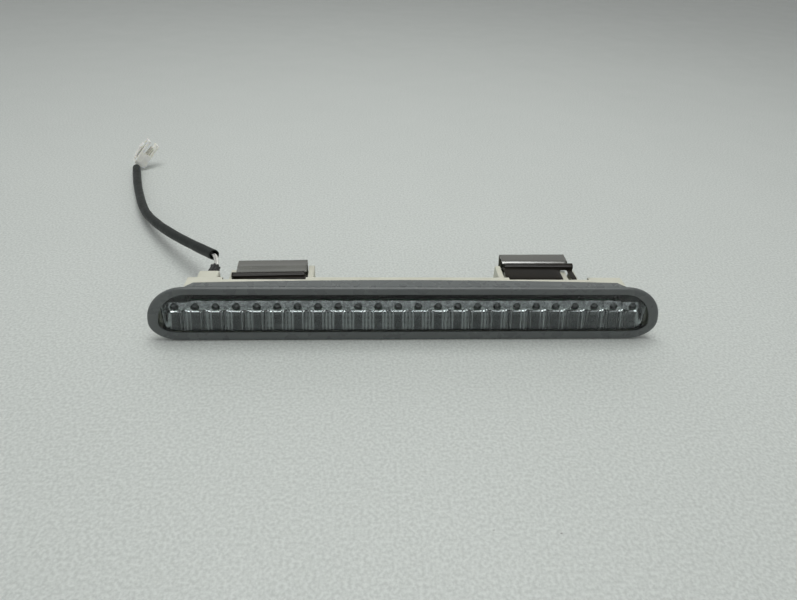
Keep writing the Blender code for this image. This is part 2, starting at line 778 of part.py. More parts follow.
def clip_legs(name, side, roll):
    """A narrow leg from each hem's outer end towards the lens."""
    roll_back, roll_z = roll
    bm = bmesh.new()
    xs = sorted(side * edge for edge in LEG_EDGES)
    for direction in (-1, 1):
        middle = direction * (roll_z - MIDDLE_Z)
        add_box(
            bm,
            (xs[0], -CLIP_LENGTH, middle - CLIP_SHEET / 2),
            (xs[1], -roll_back, middle + CLIP_SHEET / 2),
        )
    return mesh_from(bm, name)


def spring_clip(name, side, crest_y, turn, fold, roll, material, parts, cutters):
    """A clip about its crest, turned a little on its tower."""
    place_at = Matrix.Translation((side * CLIP_X, crest_y, MIDDLE_Z))
    place_at = place_at @ Matrix.Rotation(math.radians(turn), 4, "Z")
    clip = place(name, clip_mesh(name, side, fold, roll), material, parts, place_at)
    solidify = clip.modifiers.new("sheet", "SOLIDIFY")
    solidify.thickness = CLIP_SHEET
    solidify.offset = -1.0
    for suffix, make in (("_hems", clip_hems), ("_legs", clip_legs)):
        mesh = make(name + suffix, side, roll)
        boolean(clip, place(name + suffix, mesh, material, cutters, place_at), "UNION")
    return clip


# ---------------------------------------------------------------- cable


def boot(material, parts):
    """The ribbed rubber boot, its neck pressed into the outlet's bore."""
    shoulder = OUTLET_BACK_Y + GAP
    pitch = (BOOT_END_Y - shoulder) / 3
    profile = [(BOOT_BORE, BOOT_END_Y), (BOOT_VALLEY, BOOT_END_Y)]
    for ridge in (2, 1, 0):
        base = shoulder + ridge * pitch
        profile.append((BOOT_RADIUS, base + 0.7 * pitch))
        profile.append((BOOT_RADIUS, base + 0.3 * pitch))
        profile.append((BOOT_VALLEY, base + 0.05 * pitch))
        if ridge:
            profile.append((BOOT_VALLEY, base - 0.05 * pitch))
    profile += [
        (BOOT_RADIUS, shoulder),
        (BOOT_NECK, shoulder),
        (BOOT_NECK, BOOT_NECK_Y),
        (BOOT_BORE, BOOT_NECK_Y),
    ]
    turn = Matrix.Rotation(math.radians(-90), 4, "X")
    matrix = Matrix.Translation((OUTLET_X, 0.0, OUTLET_Z)) @ turn
    return turned("cable_boot", profile, BOOT_STEPS, material, parts, matrix, closed=True)


def beside(points, offset, last):
    """The path moved to its right-hand side, level with the table, turning to the last aside."""
    count = len(points) - 1
    turn_from = count - 2 * WIRE_SPAN_STEPS
    moved = []
    for i, point in enumerate(points):
        ahead = points[min(i + 1, count)] - points[max(i - 1, 0)]
        aside = ahead.cross(Vector((0, 0, 1))).normalized()
        turned_by = max(0.0, (i - turn_from) / (count - turn_from))
        aside = aside.lerp(last, turned_by).normalized()
        moved.append(point + aside * offset)
    return moved


def wire(name, path, material, parts):
    curve = tube_curve(name, path, WIRE_RADIUS, 8, True, parts)
    return place(name, curve_to_mesh(curve, name), material, parts)


def inner_wire(name, offset, material, parts):
    """A wire from the board, turning into the outlet's bore and on to the boot's mouth."""
    board_back = BOARD_FRONT_Y + BOARD_THICKNESS
    points = [
        Vector((OUTLET_X + 1.2 * MM, board_back + GAP, OUTLET_Z - 6.5 * MM)),
        Vector((OUTLET_X + 1.1 * MM, board_back + 1.5 * MM, OUTLET_Z - 5.8 * MM)),
        Vector((OUTLET_X + 0.7 * MM, BOX_BACK_Y - 2.1 * WALL, OUTLET_Z - 2.2 * MM)),
        Vector((OUTLET_X + 0.1 * MM, BOX_BACK_Y - 1.3 * WALL, OUTLET_Z - 0.1 * MM)),
        Vector((OUTLET_X, BOX_BACK_Y + 3 * MM, OUTLET_Z)),
        Vector((OUTLET_X, BOOT_END_Y - 2 * GAP, OUTLET_Z)),
    ]
    moved = [point + Vector((offset, 0, 0)) for point in points]
    return wire(name, spline_through(moved, WIRE_SPAN_STEPS), material, parts)


def sleeve_points():
    """The cable's run behind the lamp, from near the boot down to the table and back."""
    places = [
        (-142.0, 60.5, 31.0),
        (-161.5, 83.7, 25.0),
        (-187.8, 114.4, 18.5),
        (-211.4, 144.8, 13.5),
        (-230.4, 175.1, 9.6),
        (-251.1, 223.2, 5.6),
        (-262.5, 254.2, 4.6),
        (-273.3, 287.5, 4.6),
    ]
    return [Vector(point) * MM for point in places]


def cable_sleeve(material, parts):
    path = spline_through(sleeve_points(), 3)
    curve = tube_curve("cable_sleeve", path, SLEEVE_RADIUS, 12, False, parts)
    mesh = curve_to_mesh(curve, "cable_sleeve")
    sleeve = place("cable_sleeve", mesh, material, parts)
    put_origin(sleeve, CABLE_PIVOT)
    solidify = sleeve.modifiers.new("wall", "SOLIDIFY")
    solidify.thickness = SLEEVE_WALL
    solidify.offset = -1.0
    return sleeve


def cable_wire(name, offset, material, parts):
    """A wire from the boot's mouth through the sleeve to the plug."""
    start = [
        Vector((OUTLET_X, BOOT_END_Y + 3 * GAP, OUTLET_Z)),
        Vector((OUTLET_X - 0.8 * MM, BOOT_END_Y + 7 * MM, OUTLET_Z + 0.9 * MM)),
    ]
    finish = [
        PLUG_POINT + Vector((-1.0, -3.6, -1.1)) * MM,
        PLUG_POINT - PLUG_AXIS * 0.5 * MM,
    ]
    path = spline_through(start + sleeve_points() + finish, WIRE_SPAN_STEPS)
    path = beside(path, offset, -PLUG_UP)
    lead = wire(name, path, material, parts)
    put_origin(lead, CABLE_PIVOT)
    return lead


# ---------------------------------------------------------------- plug


def plug_matrix():
    """Local X along the plug towards its mating end, local Z towards its latch."""
    side = PLUG_UP.cross(PLUG_AXIS).normalized()
    up = PLUG_AXIS.cross(side)
    matrix = Matrix((PLUG_AXIS, side, up)).transposed().to_4x4()
    matrix.translation = PLUG_POINT
    return matrix


def plug_box(name, low, high, material, collection):
    return place(name, box_mesh(name, low, high), material, collection, plug_matrix())


def connector_housing(material, parts, cutters):
    """The plug's moulding: a block for the terminals with two walls past its mating end."""
    width = PLUG_HALF_WIDTH
    height = PLUG_HALF_HEIGHT
    start = PLUG_BODY - OVERLAP
    block = plug_box(
        "connector_housing", (0, -width, -height), (PLUG_BODY, width, height), material, parts
    )
    upper = plug_box(
        "upper_wall",
        (start, GAP - width, height - GAP - PLUG_WALL),
        (PLUG_LENGTH, width - GAP, height - GAP),
        material,
        cutters,
    )
    lower = plug_box(
        "lower_wall",
        (start, OVERLAP - width, GAP - height),
        (PLUG_LENGTH - 2 * OVERLAP, width - OVERLAP, GAP - height + PLUG_WALL),
        material,
        cutters,
    )
    boolean(block, upper, "UNION")
    boolean(block, lower, "UNION")
    reach = WIRE_SPACING + WIRE_RADIUS
    entry_high = (PLUG_WALL, reach + GAP, reach + GAP)
    entry_low = (-OVERLAP, -reach - GAP, -reach - GAP)
    entry = plug_box("wire_entry", entry_low, entry_high, material, cutters)
    boolean(block, entry, "DIFFERENCE")
    for side in (-1, 1):
        name = f"terminal_cavity_{(side + 3) // 2}"
        middle = side * CAVITY_OFFSET
        half = TERMINAL_HALF.y + GAP
        low = (PLUG_BODY / 2, middle - half, -TERMINAL_HALF.z - GAP)
        high = (PLUG_BODY + OVERLAP, middle + half, TERMINAL_HALF.z + GAP)
        cavity = plug_box(name, low, high, material, cutters)
        boolean(block, cavity, "DIFFERENCE")
    return block


def terminals(material, parts):
    """Two flat pins held in the block's cavities, side by side."""
    for side in (-1, 1):
        name = f"terminal_{(side + 3) // 2}"
        centre = Vector((PLUG_BODY / 2 + TERMINAL_HALF.x + GAP, side * CAVITY_OFFSET, 0.0))
        plug_box(name, centre - TERMINAL_HALF, centre + TERMINAL_HALF, material, parts)


def connector_latch(material, parts, cutters):
    """The locking arm over the plug, on a short foot at its wire end."""
    foot_z = PLUG_HALF_HEIGHT + GAP
    arm_z = PLUG_HALF_HEIGHT + LATCH_SHEET
    top = arm_z + LATCH_SHEET
    half = LATCH_HALF_WIDTH
    arm = plug_box(
        "connector_latch", (LATCH_ROOT, -half, arm_z), (LATCH_TIP, half, top), material, parts
    )
    foot = plug_box(
        "latch_foot",
        (LATCH_ROOT, -half, foot_z),
        (LATCH_ROOT + LATCH_FOOT, half, arm_z + GAP),
        material,
        cutters,
    )
    tooth = plug_box(
        "latch_tooth",
        (LATCH_TOOTH[0], -0.7 * half, top - GAP),
        (LATCH_TOOTH[1], 0.7 * half, top + OVERLAP),
        material,
        cutters,
    )
    boolean(arm, foot, "UNION")
    boolean(arm, tooth, "UNION")
    hinge = Vector((LATCH_ROOT + LATCH_FOOT / 2, 0.0, arm_z - GAP))
    arm.data.transform(Matrix.Translation(-hinge))
    arm.matrix_world = plug_matrix() @ Matrix.Translation(hinge)
    return arm


# ---------------------------------------------------------------- assembly


def build():
    clear_scene()
    parts = new_collection("third_brake_light")
    cutters = new_collection("cutters")

    smoked = smoked_plastic()
    cream = plastic("cream_plastic", (0.80, 0.78, 0.66), 0.45)
    butyl = plastic("black_butyl", (0.02, 0.02, 0.02), 0.7)
    mirror = plastic("metallised_plastic", (0.85, 0.86, 0.88), 0.12, 1.0)
    clear = plastic("clear_led", (0.75, 0.76, 0.76), 0.1)
    green = plastic("board_green", (0.03, 0.16, 0.07), 0.4)
    steel = plastic("spring_steel", (0.20, 0.18, 0.16), 0.38, 0.9)
    zinc = plastic("zinc_screw", (0.6, 0.6, 0.58), 0.35, 1.0)
    chip = plastic("black_chip", (0.03, 0.03, 0.03), 0.5)
    rubber = plastic("black_rubber", (0.03, 0.03, 0.03), 0.75)
    sleeving = plastic("black_sleeving", (0.03, 0.035, 0.035), 0.4)
    white_wire = plastic("white_wire", (0.85, 0.85, 0.83), 0.45)
    grey_wire = plastic("grey_wire", (0.45, 0.45, 0.44), 0.45)
    nylon = plastic("natural_nylon", (0.86, 0.86, 0.81), 0.4)
    brass = plastic("tinned_brass", (0.72, 0.69, 0.60), 0.3, 1.0)

    outer_lens(smoked, parts, cutters)
    lens_seal(butyl, parts)
    housing(cream, parts, cutters)
    reflector(mirror, parts, cutters)
    leds(clear, parts)
    circuit_board(green, parts, cutters)
    board_screws(zinc, parts)
    chips(chip, parts)
    left = ("left_clip", -1, LEFT_CREST_Y, LEFT_CLIP_TURN, LEFT_FOLD, LEFT_ROLL)
    right = ("right_clip", 1, RIGHT_CREST_Y, RIGHT_CLIP_TURN, RIGHT_FOLD, RIGHT_ROLL)
    for clip in (left, right):
        spring_clip(*clip, steel, parts, cutters)
    boot(rubber, parts)
    inner_wire("inner_wire_live", WIRE_SPACING, white_wire, parts)
    inner_wire("inner_wire_ground", -WIRE_SPACING, grey_wire, parts)
    cable_sleeve(sleeving, parts)
    cable_wire("cable_wire_live", WIRE_SPACING, white_wire, parts)
    cable_wire("cable_wire_ground", -WIRE_SPACING, grey_wire, parts)
    connector_housing(nylon, parts, cutters)
    connector_latch(nylon, parts, cutters)
    terminals(brass, parts)


build()
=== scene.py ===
import json
import math

import bmesh
import bpy
from mathutils import Matrix, Quaternion, Vector


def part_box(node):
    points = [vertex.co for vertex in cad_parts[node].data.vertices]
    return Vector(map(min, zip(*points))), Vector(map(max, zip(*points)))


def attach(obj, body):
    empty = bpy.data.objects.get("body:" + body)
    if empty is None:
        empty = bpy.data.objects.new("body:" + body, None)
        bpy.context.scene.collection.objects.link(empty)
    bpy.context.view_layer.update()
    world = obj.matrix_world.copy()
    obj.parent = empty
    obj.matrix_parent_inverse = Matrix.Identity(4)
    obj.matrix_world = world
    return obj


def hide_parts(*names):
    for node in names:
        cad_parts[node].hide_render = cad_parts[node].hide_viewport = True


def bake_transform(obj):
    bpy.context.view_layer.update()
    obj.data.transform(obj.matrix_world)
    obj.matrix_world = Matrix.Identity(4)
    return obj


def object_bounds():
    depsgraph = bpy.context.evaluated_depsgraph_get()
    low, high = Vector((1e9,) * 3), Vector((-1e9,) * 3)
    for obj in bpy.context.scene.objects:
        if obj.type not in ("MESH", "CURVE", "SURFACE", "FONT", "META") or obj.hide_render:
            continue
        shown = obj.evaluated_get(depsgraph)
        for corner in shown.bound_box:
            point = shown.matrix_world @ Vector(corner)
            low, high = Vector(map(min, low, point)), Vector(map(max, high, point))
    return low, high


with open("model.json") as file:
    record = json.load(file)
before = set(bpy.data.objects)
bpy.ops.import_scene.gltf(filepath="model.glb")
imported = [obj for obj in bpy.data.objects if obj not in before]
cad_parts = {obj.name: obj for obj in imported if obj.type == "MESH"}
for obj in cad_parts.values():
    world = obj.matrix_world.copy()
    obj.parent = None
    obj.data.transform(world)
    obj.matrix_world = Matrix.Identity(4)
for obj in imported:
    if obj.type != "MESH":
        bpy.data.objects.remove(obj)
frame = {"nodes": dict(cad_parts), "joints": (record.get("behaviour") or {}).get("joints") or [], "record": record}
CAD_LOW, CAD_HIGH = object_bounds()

MM = 0.001

# ---------------------------------------------------------------- places, from the frame

JOINTS = {joint["name"]: joint for joint in frame["joints"]}
MOUNTS = {mount["name"]: mount for mount in frame["record"]["mounts"]}
LENS_LOW, LENS_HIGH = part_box("outer_lens")
BOOT_LOW, BOOT_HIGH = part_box("cable_boot")
LED_COUNT = sum(name.startswith("led_") for name in frame["nodes"])
FIRST_LED_X = sum(corner.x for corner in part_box("led_01")) / 2
LED_PITCH = -2 * FIRST_LED_X / (LED_COUNT - 1)
LED_Z = sum(corner.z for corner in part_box("led_01")) / 2
CABLE_PIVOT = Vector(JOINTS["cable_swing"]["pos_m"])
PLUG_POINT = Vector(JOINTS["plug_swing"]["pos_m"])
LATCH_PIVOT = Vector(JOINTS["latch_press"]["pos_m"])
PLUG_SIDE = Vector(JOINTS["latch_press"]["axis"])

# ---------------------------------------------------------------- driving dimensions

# The lens: an outline of four quarter ellipses, a flange with a lip round its back, and two rails.
HALF_WIDTH = LENS_HIGH.x
HEIGHT = LENS_HIGH.z
MIDDLE_Z = (LENS_LOW.z + HEIGHT) / 2
WIDEST_Z = 0.325 * HEIGHT
UPPER_CORNER_X = 28.6 * MM
LOWER_CORNER_X = 19.6 * MM
CORNER_STEPS = 28
FRONT_Y = LENS_LOW.y
SEAT_Y = 1.0 * MM
PLATE_BACK_Y = -0.5 * MM
LIP_WIDTH = 3.0 * MM
RIM_WIDTH = 7.3 * MM
RIM_NARROWING = 2.2 * MM
RIM_ROUNDING = ((2.2, 0.0), (1.4, 0.10), (0.75, 0.36), (0.25, 0.80), (0.04, 1.25), (0.0, 1.7))
WINDOW_SPREAD = 1.6 * MM
SKIRT_DROP = 1.2 * MM
RAIL_ENDS = (147.5 * MM, 143.0 * MM)
RAIL_BACK_Y = LENS_HIGH.y
RAIL_ROOT = 0.3 * MM
RAIL_BOW = 3.3 * MM
RAIL_THICKNESS = 1.8 * MM
RAIL_INSET = 1.0 * MM
RAIL_STEPS = 24

# The reflector: in each cell a scoop round the LED, a ledge under it and a fluted floor below.
CELL_COLUMNS = 36
CELL_ROWS = 60
MIRROR_LOW_Z = 6.1 * MM
MIRROR_INSET = 6.6 * MM
MIRROR_TOP = 4.2 * MM
MIRROR_SCALLOP = 0.6 * MM
MIRROR_PLANE_Y = 5.6 * MM
MIRROR_END_Y = 0.5 * MM
MIRROR_WALL = 0.5 * MM
HOLE_RADIUS = 2.6 * MM
HOLE_SNAP = 0.2 * MM
LEDGE_DROP = 2.7 * MM
LEDGE_RISE = 1.0 * MM
LEDGE_STEP = 0.54 * MM
LEDGE_BEVEL = 0.9 * MM
CELL_BULGE = 0.15 * MM
SCOOP_START = 0.8 * MM
SCOOP_SAG = 1.8 * MM
SCOOP_SLOPE = 0.6
FLOOR_CURVE = 4.8 * MM
FLUTE_PITCH = 2.3 * MM
FLUTE_DEPTH = 0.30 * MM
FLUTES_FROM = 2.0 * MM
FLUTES_FADE = 0.8 * MM
PILLOW_PITCH = 3.6 * MM
PILLOW_DEPTH = 0.015 * MM
DOME_RADIUS = 2.45 * MM
DOME_STEPS = 8
LED_FLANGE = 0.9 * MM

# Boxes that the smoked lens covers, low corner and high corner; inside them the housing's colour is painted shade.
INSIDE_MAIN = (Vector((-149, -2, 6.1)) * MM, Vector((149, 15.6, 39)) * MM)
INSIDE_EDGES = (Vector((-167, -2, 6.6)) * MM, Vector((167, 2.5, 39.5)) * MM)
INSIDE_ENDS = (Vector((-166.5, -2, 11.5)) * MM, Vector((166.5, 11.6, 29.5)) * MM)
BEHIND_RIM = (Vector((150.2, -2, 28)) * MM, Vector((170, 6.0, 31)) * MM)

# The clips: each has its own fold and its own hem.
CLIP_SHEET = 0.8 * MM
CLIP_HALF_WIDTH = 24.75 * MM
CLIP_LENGTH = 34.0 * MM
CLIP_TURNS = {"left_clip": 2.0, "right_clip": 0.6}
CLIP_BENDS = {"left_clip": (8.8 * MM, 13.6 * MM), "right_clip": (10.6 * MM, 12.4 * MM)}
CLIP_BEND_DROP = 0.9 * MM
CLIP_ROLLS = {"left_clip": (16.8 * MM, 3.1 * MM), "right_clip": (14.6 * MM, 2.7 * MM)}
CREST_RADIUS = 1.3 * MM
ROLL_RADIUS = 2.7 * MM
ROLL_OVERHANG = 3.0 * MM
TONGUE_EDGE = 16.5 * MM
LEG_EDGES = (22.8 * MM, 26.6 * MM)
GRIP_SETBACK = 5.0 * MM
CLIP_RIPPLE = 0.07 * MM

# The cable.
BOSS_BACK_Y = 29.5 * MM
BOOT_RIBS = 8
BOOT_GROOVE = 0.20
BOOT_LEAN = 1.3 * MM
BOOT_NECK = 2.4 * MM
BOOT_BORE = 1.9 * MM
BOOT_STEPS = 18
SLEEVE_RADIUS = 3.95 * MM
SLEEVE_BORE = 3.1 * MM
WIRE_RADIUS = 0.78 * MM
WIRE_SPACING = 0.85 * MM

# The room and the view.
FLOOR_HALF = 2.5
FLOOR_GAP = 0.02 * MM
ROOM_LIGHT = 0.53
WINDOW_POWER = 1.5
CEILING_POWER = 11.0
STRIP_POWER = 18.0
CAMERA_AT = Vector((-29.9, -331.5, 262.5)) * MM
CAMERA_TURN = 3.9
CAMERA_DIP = 34.74
CAMERA_ROLL = 2.2
CAMERA_LENS = 27.1
CAMERA_SENSOR = 36.0


# ---------------------------------------------------------------- mesh helpers


def mesh_from(bm, name):
    bmesh.ops.recalc_face_normals(bm, faces=bm.faces)
    mesh = bpy.data.meshes.new(name)
    bm.to_mesh(mesh)
    bm.free()
    return mesh


def new_object(name, mesh, *materials, sharp=40):
    for material in materials:
        mesh.materials.append(material)
    mesh.shade_smooth()
    mesh.set_sharp_from_angle(angle=math.radians(sharp))
    obj = bpy.data.objects.new(name, mesh)
    bpy.context.scene.collection.objects.link(obj)
    return obj


def piece(obj, body, nodes):
    """Puts a finished object on its body and hides the CAD nodes it stands for."""
    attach(obj, body)
    if nodes:
        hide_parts(*nodes)


def add_box(bm, low, high):
    size = Vector(high) - Vector(low)
    centre = (Vector(high) + Vector(low)) / 2
    matrix = Matrix.Translation(centre) @ Matrix.Diagonal((*size, 1.0))
    bmesh.ops.create_cube(bm, size=1.0, matrix=matrix)


def loft(bm, rings, capped=True):
    """Skins rings of equal count, with end caps or closed round; returns the faces of each span."""
    rows = [[bm.verts.new(point) for point in ring] for ring in rings]
    pairs = list(zip(rows, rows[1:]))
    if not capped:
        pairs.append((rows[-1], rows[0]))
    spans = []
    for near, far in pairs:
        count = len(near)
        spans.append(
            [
                bm.faces.new((near[i], near[(i + 1) % count], far[(i + 1) % count], far[i]))
                for i in range(count)
            ]
        )
    if capped:
        spans.insert(0, [bm.faces.new(rows[0])])
        spans.append([bm.faces.new(rows[-1])])
    return spans


def spline_through(points, per_span):
    """A smooth curve through the points, its slope at each one shared between its two spans."""
    ends = [2 * points[0] - points[1]] + points + [2 * points[-1] - points[-2]]
    path = []
    for a, b, c, d in zip(ends, ends[1:], ends[2:], ends[3:]):
        span = (c - b).length
        leaving = (c - a) * (span / ((b - a).length + span))
        arriving = (d - b) * (span / ((d - c).length + span))
        for i in range(per_span):
            t = i / per_span
            point = b + (c - b) * (3 - 2 * t) * t * t
            point += leaving * t * (1 - t) ** 2
            point -= arriving * t * t * (1 - t)
            path.append(point)
    path.append(points[-1])
    return path


def tube_rings(path, radius, sides):
    """Rings of points round a path, carried along it without twisting.

    The radius is a number, or a function of the share of the path from 0 to 1.
    """
    rings = []
    across = None
    last = len(path) - 1
    for i, point in enumerate(path):
        along = (path[min(i + 1, last)] - path[max(i - 1, 0)]).normalized()
        if across is None:
            across = along.orthogonal().normalized()
        across = (across - along * across.dot(along)).normalized()
        up = along.cross(across)
        size = radius(i / last) if callable(radius) else radius
        angles = [2 * math.pi * j / sides for j in range(sides)]
        rings.append([point + (across * math.cos(a) + up * math.sin(a)) * size for a in angles])
    return rings


def solid_tube(name, path, radius, sides=16):
    bm = bmesh.new()
    loft(bm, tube_rings(path, radius, sides))
    return mesh_from(bm, name)


def hollow_tube(name, path, outer, inner, sides=32):
    """A tube with a wall: the outer skin, and back along the inner one."""
    bm = bmesh.new()
    skins = tube_rings(path, outer, sides) + tube_rings(path, inner, sides)[::-1]
    loft(bm, skins, capped=False)
    return mesh_from(bm, name)


def turned(name, profile, steps, matrix):
    """A profile of (radius, height) pairs turned about Z, then placed by the matrix."""
    bm = bmesh.new()
    angles = [2 * math.pi * i / steps for i in range(steps)]
    rings = [
        [matrix @ Vector((r * math.cos(a), r * math.sin(a), h)) for a in angles]
        for r, h in profile
    ]
    loft(bm, rings)
    return mesh_from(bm, name)


def round_edges(obj, width, segments=3, angle=35):
    bevel = obj.modifiers.new("round_edges", "BEVEL")
    bevel.width = width
    bevel.segments = segments
    bevel.limit_method = "ANGLE"
    bevel.angle_limit = math.radians(angle)
    bevel.harden_normals = False


def join(obj, tool, operation="UNION"):
    """Applies a Boolean with a helper mesh object, which is then removed."""
    modifier = obj.modifiers.new("join", "BOOLEAN")
    modifier.operation = operation
    modifier.solver = "EXACT"
    modifier.object = tool
    bake(obj)
    bpy.data.objects.remove(tool, do_unlink=True)


def merge_close_points(mesh, distance):
    """Merges points that Booleans leave almost on top of each other, and the slivers between them."""
    bm = bmesh.new()
    bm.from_mesh(mesh)
    bmesh.ops.remove_doubles(bm, verts=bm.verts, dist=distance)
    bmesh.ops.dissolve_degenerate(bm, dist=distance, edges=bm.edges)
    bm.to_mesh(mesh)
    bm.free()


def bake(obj):
    """Replaces the mesh with its evaluated one and drops the modifiers."""
    bpy.context.view_layer.update()
    graph = bpy.context.evaluated_depsgraph_get()
    mesh = bpy.data.meshes.new_from_object(obj.evaluated_get(graph))
    mesh.name = obj.name
    obj.modifiers.clear()
    obj.data = mesh


# ---------------------------------------------------------------- material helpers


def new_material(name, metallic=0.0):
    material = bpy.data.materials.new(name)
    material.use_nodes = True
    shader = material.node_tree.nodes["Principled BSDF"]
    shader.inputs["Metallic"].default_value = metallic
    return material, material.node_tree, shader


def add_node(tree, kind, **values):
    """A node whose inputs or properties are set by name, with spaces written as underscores."""
    node = tree.nodes.new("ShaderNode" + kind)
    for key, value in values.items():
        name = key.replace("_", " ")
        if name in node.inputs:
            node.inputs[name].default_value = value
        else:
            setattr(node, key, value)
    return node


def noise(tree, size, detail=4.0, stretch=(1, 1, 1), roughness=0.55):
    """Noise in the object's own space, with features of about the given size in metres."""
    space = add_node(tree, "TexCoord")
    mapping = add_node(tree, "Mapping", Scale=stretch)
    texture = add_node(tree, "TexNoise", Scale=1 / size, Detail=detail, Roughness=roughness)
    tree.links.new(space.outputs["Object"], mapping.inputs["Vector"])
    tree.links.new(mapping.outputs["Vector"], texture.inputs["Vector"])
    return texture.outputs["Fac"]


def ramp(tree, value, stops):
    """A colour ramp over the value; stops are (position, colour or grey)."""
    node = add_node(tree, "ValToRGB")
    elements = node.color_ramp.elements
    while len(elements) < len(stops):
        elements.new(0.5)
    for element, (position, colour) in zip(elements, stops):
        element.position = position
        grey = isinstance(colour, (int, float))
        element.color = (colour, colour, colour, 1) if grey else (*colour, 1)
    tree.links.new(value, node.inputs["Fac"])
    return node.outputs["Color"]


def mix(tree, factor, first, second):
    """Mixes two colours; each input may be a socket, a colour or a number."""
    node = add_node(tree, "Mix", data_type="RGBA")
    sockets = (node.inputs[0], node.inputs[6], node.inputs[7])
    for socket, value in zip(sockets, (factor, first, second)):
        if isinstance(value, bpy.types.NodeSocket):
            tree.links.new(value, socket)
        elif isinstance(value, (int, float)) and socket.type != "RGBA":
            socket.default_value = value
        else:
            socket.default_value = (*value, 1)
    return node.outputs[2]


def bump(tree, shader, height, distance):
    """Bump after any bump the shader already has."""
    node = add_node(tree, "Bump", Strength=1.0, Distance=distance)
    tree.links.new(height, node.inputs["Height"])
    for link in shader.inputs["Normal"].links:
        tree.links.new(link.from_socket, node.inputs["Normal"])
    tree.links.new(node.outputs["Normal"], shader.inputs["Normal"])


def position(tree):
    """X, Y and Z sockets of the point, in the assembly's own space."""
    space = add_node(tree, "TexCoord")
    split = add_node(tree, "SeparateXYZ")
    tree.links.new(space.outputs["Object"], split.inputs["Vector"])
    return [split.outputs[axis] for axis in "XYZ"]


def maths(tree, operation, *values):
    """A Math node over sockets or numbers."""
    node = add_node(tree, "Math", operation=operation)
    for socket, value in zip(node.inputs, values):
        if isinstance(value, bpy.types.NodeSocket):
            tree.links.new(value, socket)
        else:
            socket.default_value = value
    return node.outputs[0]


def inside_box(tree, low, high):
    """1 inside a box given by its low and high corners, 0 outside."""
    inside = 1.0
    for socket, near, far in zip(position(tree), low, high):
        within = maths(tree, "COMPARE", socket, (near + far) / 2, (far - near) / 2)
        inside = maths(tree, "MULTIPLY", within, inside)
    return inside


def surface(
    name, dark, light, rough, grain, height, metallic=0.0, patch=12 * MM, stretch=(1, 1, 1)
):
    """A mottled surface: two colours in patches, a roughness range and a fine grain of bump."""
    material, tree, shader = new_material(name, metallic=metallic)
    patches = noise(tree, patch, 5.0, stretch)
    colour = ramp(tree, patches, [(0.3, dark), (0.7, light)])
    wear = noise(tree, patch / 3, 3.0, stretch)
    roughness = ramp(tree, wear, [(0.3, rough[0]), (0.7, rough[1])])
    tree.links.new(colour, shader.inputs["Base Color"])
    tree.links.new(roughness, shader.inputs["Roughness"])
    bump(tree, shader, noise(tree, grain, 3.0, stretch), height)
    return material, tree, shader, colour


def painted_edge_highlight(tree, shader, colour, edge_highlight_colour, amount=0.5, radius=0.4 * MM):
    """Paints a highlight along edges: lightens the colour where a bevelled normal leaves the true one."""
    geometry = add_node(tree, "NewGeometry")
    bevel = add_node(tree, "Bevel", Radius=radius, samples=4)
    dot = add_node(tree, "VectorMath", operation="DOT_PRODUCT")
    tree.links.new(geometry.outputs["Normal"], dot.inputs[0])
    tree.links.new(bevel.outputs["Normal"], dot.inputs[1])
    edge = ramp(tree, dot.outputs["Value"], [(0.80, amount), (0.97, 0.0)])
    tree.links.new(mix(tree, edge, colour, edge_highlight_colour), shader.inputs["Base Color"])


# ---------------------------------------------------------------- materials


def smoked_solid():
    """The lens's rim and rails: smoked acrylic over a pale backing, so a deep satin grey."""
    material, _, shader, _ = surface(
        "smoked_acrylic_rim", (0.122, 0.133, 0.133), (0.140, 0.152, 0.151), (0.24, 0.34),
        0.8 * MM, 0.004 * MM, patch=30 * MM,
    )
    shader.inputs["Specular IOR Level"].default_value = 0.32
    return material


def smoked_window():
    """The lens over the optics: a grey tint at each face that light crosses, under a gloss."""
    material, tree, shader = new_material("smoked_acrylic_window")
    tree.nodes.remove(shader)
    tint = add_node(tree, "BsdfTransparent")
    patches = noise(tree, 9 * MM, 5.0)
    haze = ramp(tree, patches, [(0.3, (0.79, 0.81, 0.81)), (0.7, (0.82, 0.84, 0.84))])
    tree.links.new(haze, tint.inputs["Color"])
    gloss = add_node(tree, "BsdfGlossy", Roughness=0.06)
    fresnel = add_node(tree, "Fresnel", IOR=1.30)
    blend = add_node(tree, "MixShader")
    tree.links.new(fresnel.outputs["Fac"], blend.inputs["Fac"])
    tree.links.new(tint.outputs["BSDF"], blend.inputs[1])
    tree.links.new(gloss.outputs["BSDF"], blend.inputs[2])
    tree.links.new(blend.outputs["Shader"], tree.nodes["Material Output"].inputs["Surface"])
    return material


def cream_plastic():
    """Cream moulding, with painted shade where the smoked lens covers it: near black, and a lighter grey below
    about a sixth of the height.
    """
    material, tree, shader, colour = surface(
        "cream_plastic", (0.56, 0.56, 0.47), (0.64, 0.64, 0.545), (0.38, 0.52),
        0.5 * MM, 0.012 * MM, patch=18 * MM,
    )
    # Painted highlight along the moulding's edges.
    painted_edge_highlight(tree, shader, colour, (0.74, 0.74, 0.65), 0.5)
    outside = shader.inputs["Base Color"].links[0].from_socket
    low, high = BEHIND_RIM
    mirrored = (Vector((-high.x, low.y, low.z)), Vector((-low.x, high.y, high.z)))
    # Painted shade: inside these boxes the cream gives way to a dark colour.
    painted_shade_mask = 0.0
    for box in (INSIDE_MAIN, INSIDE_ENDS, INSIDE_EDGES, BEHIND_RIM, mirrored):
        painted_shade_mask = maths(tree, "MAXIMUM", inside_box(tree, *box), painted_shade_mask)
    share = maths(tree, "DIVIDE", position(tree)[2], HEIGHT)
    # The painted shade's colour: grey near the bottom, near black above.
    depth = ramp(tree, share, [(0.165, (0.30, 0.31, 0.29)), (0.20, (0.03, 0.032, 0.03))])
    tree.links.new(mix(tree, painted_shade_mask, outside, depth), shader.inputs["Base Color"])
    return material


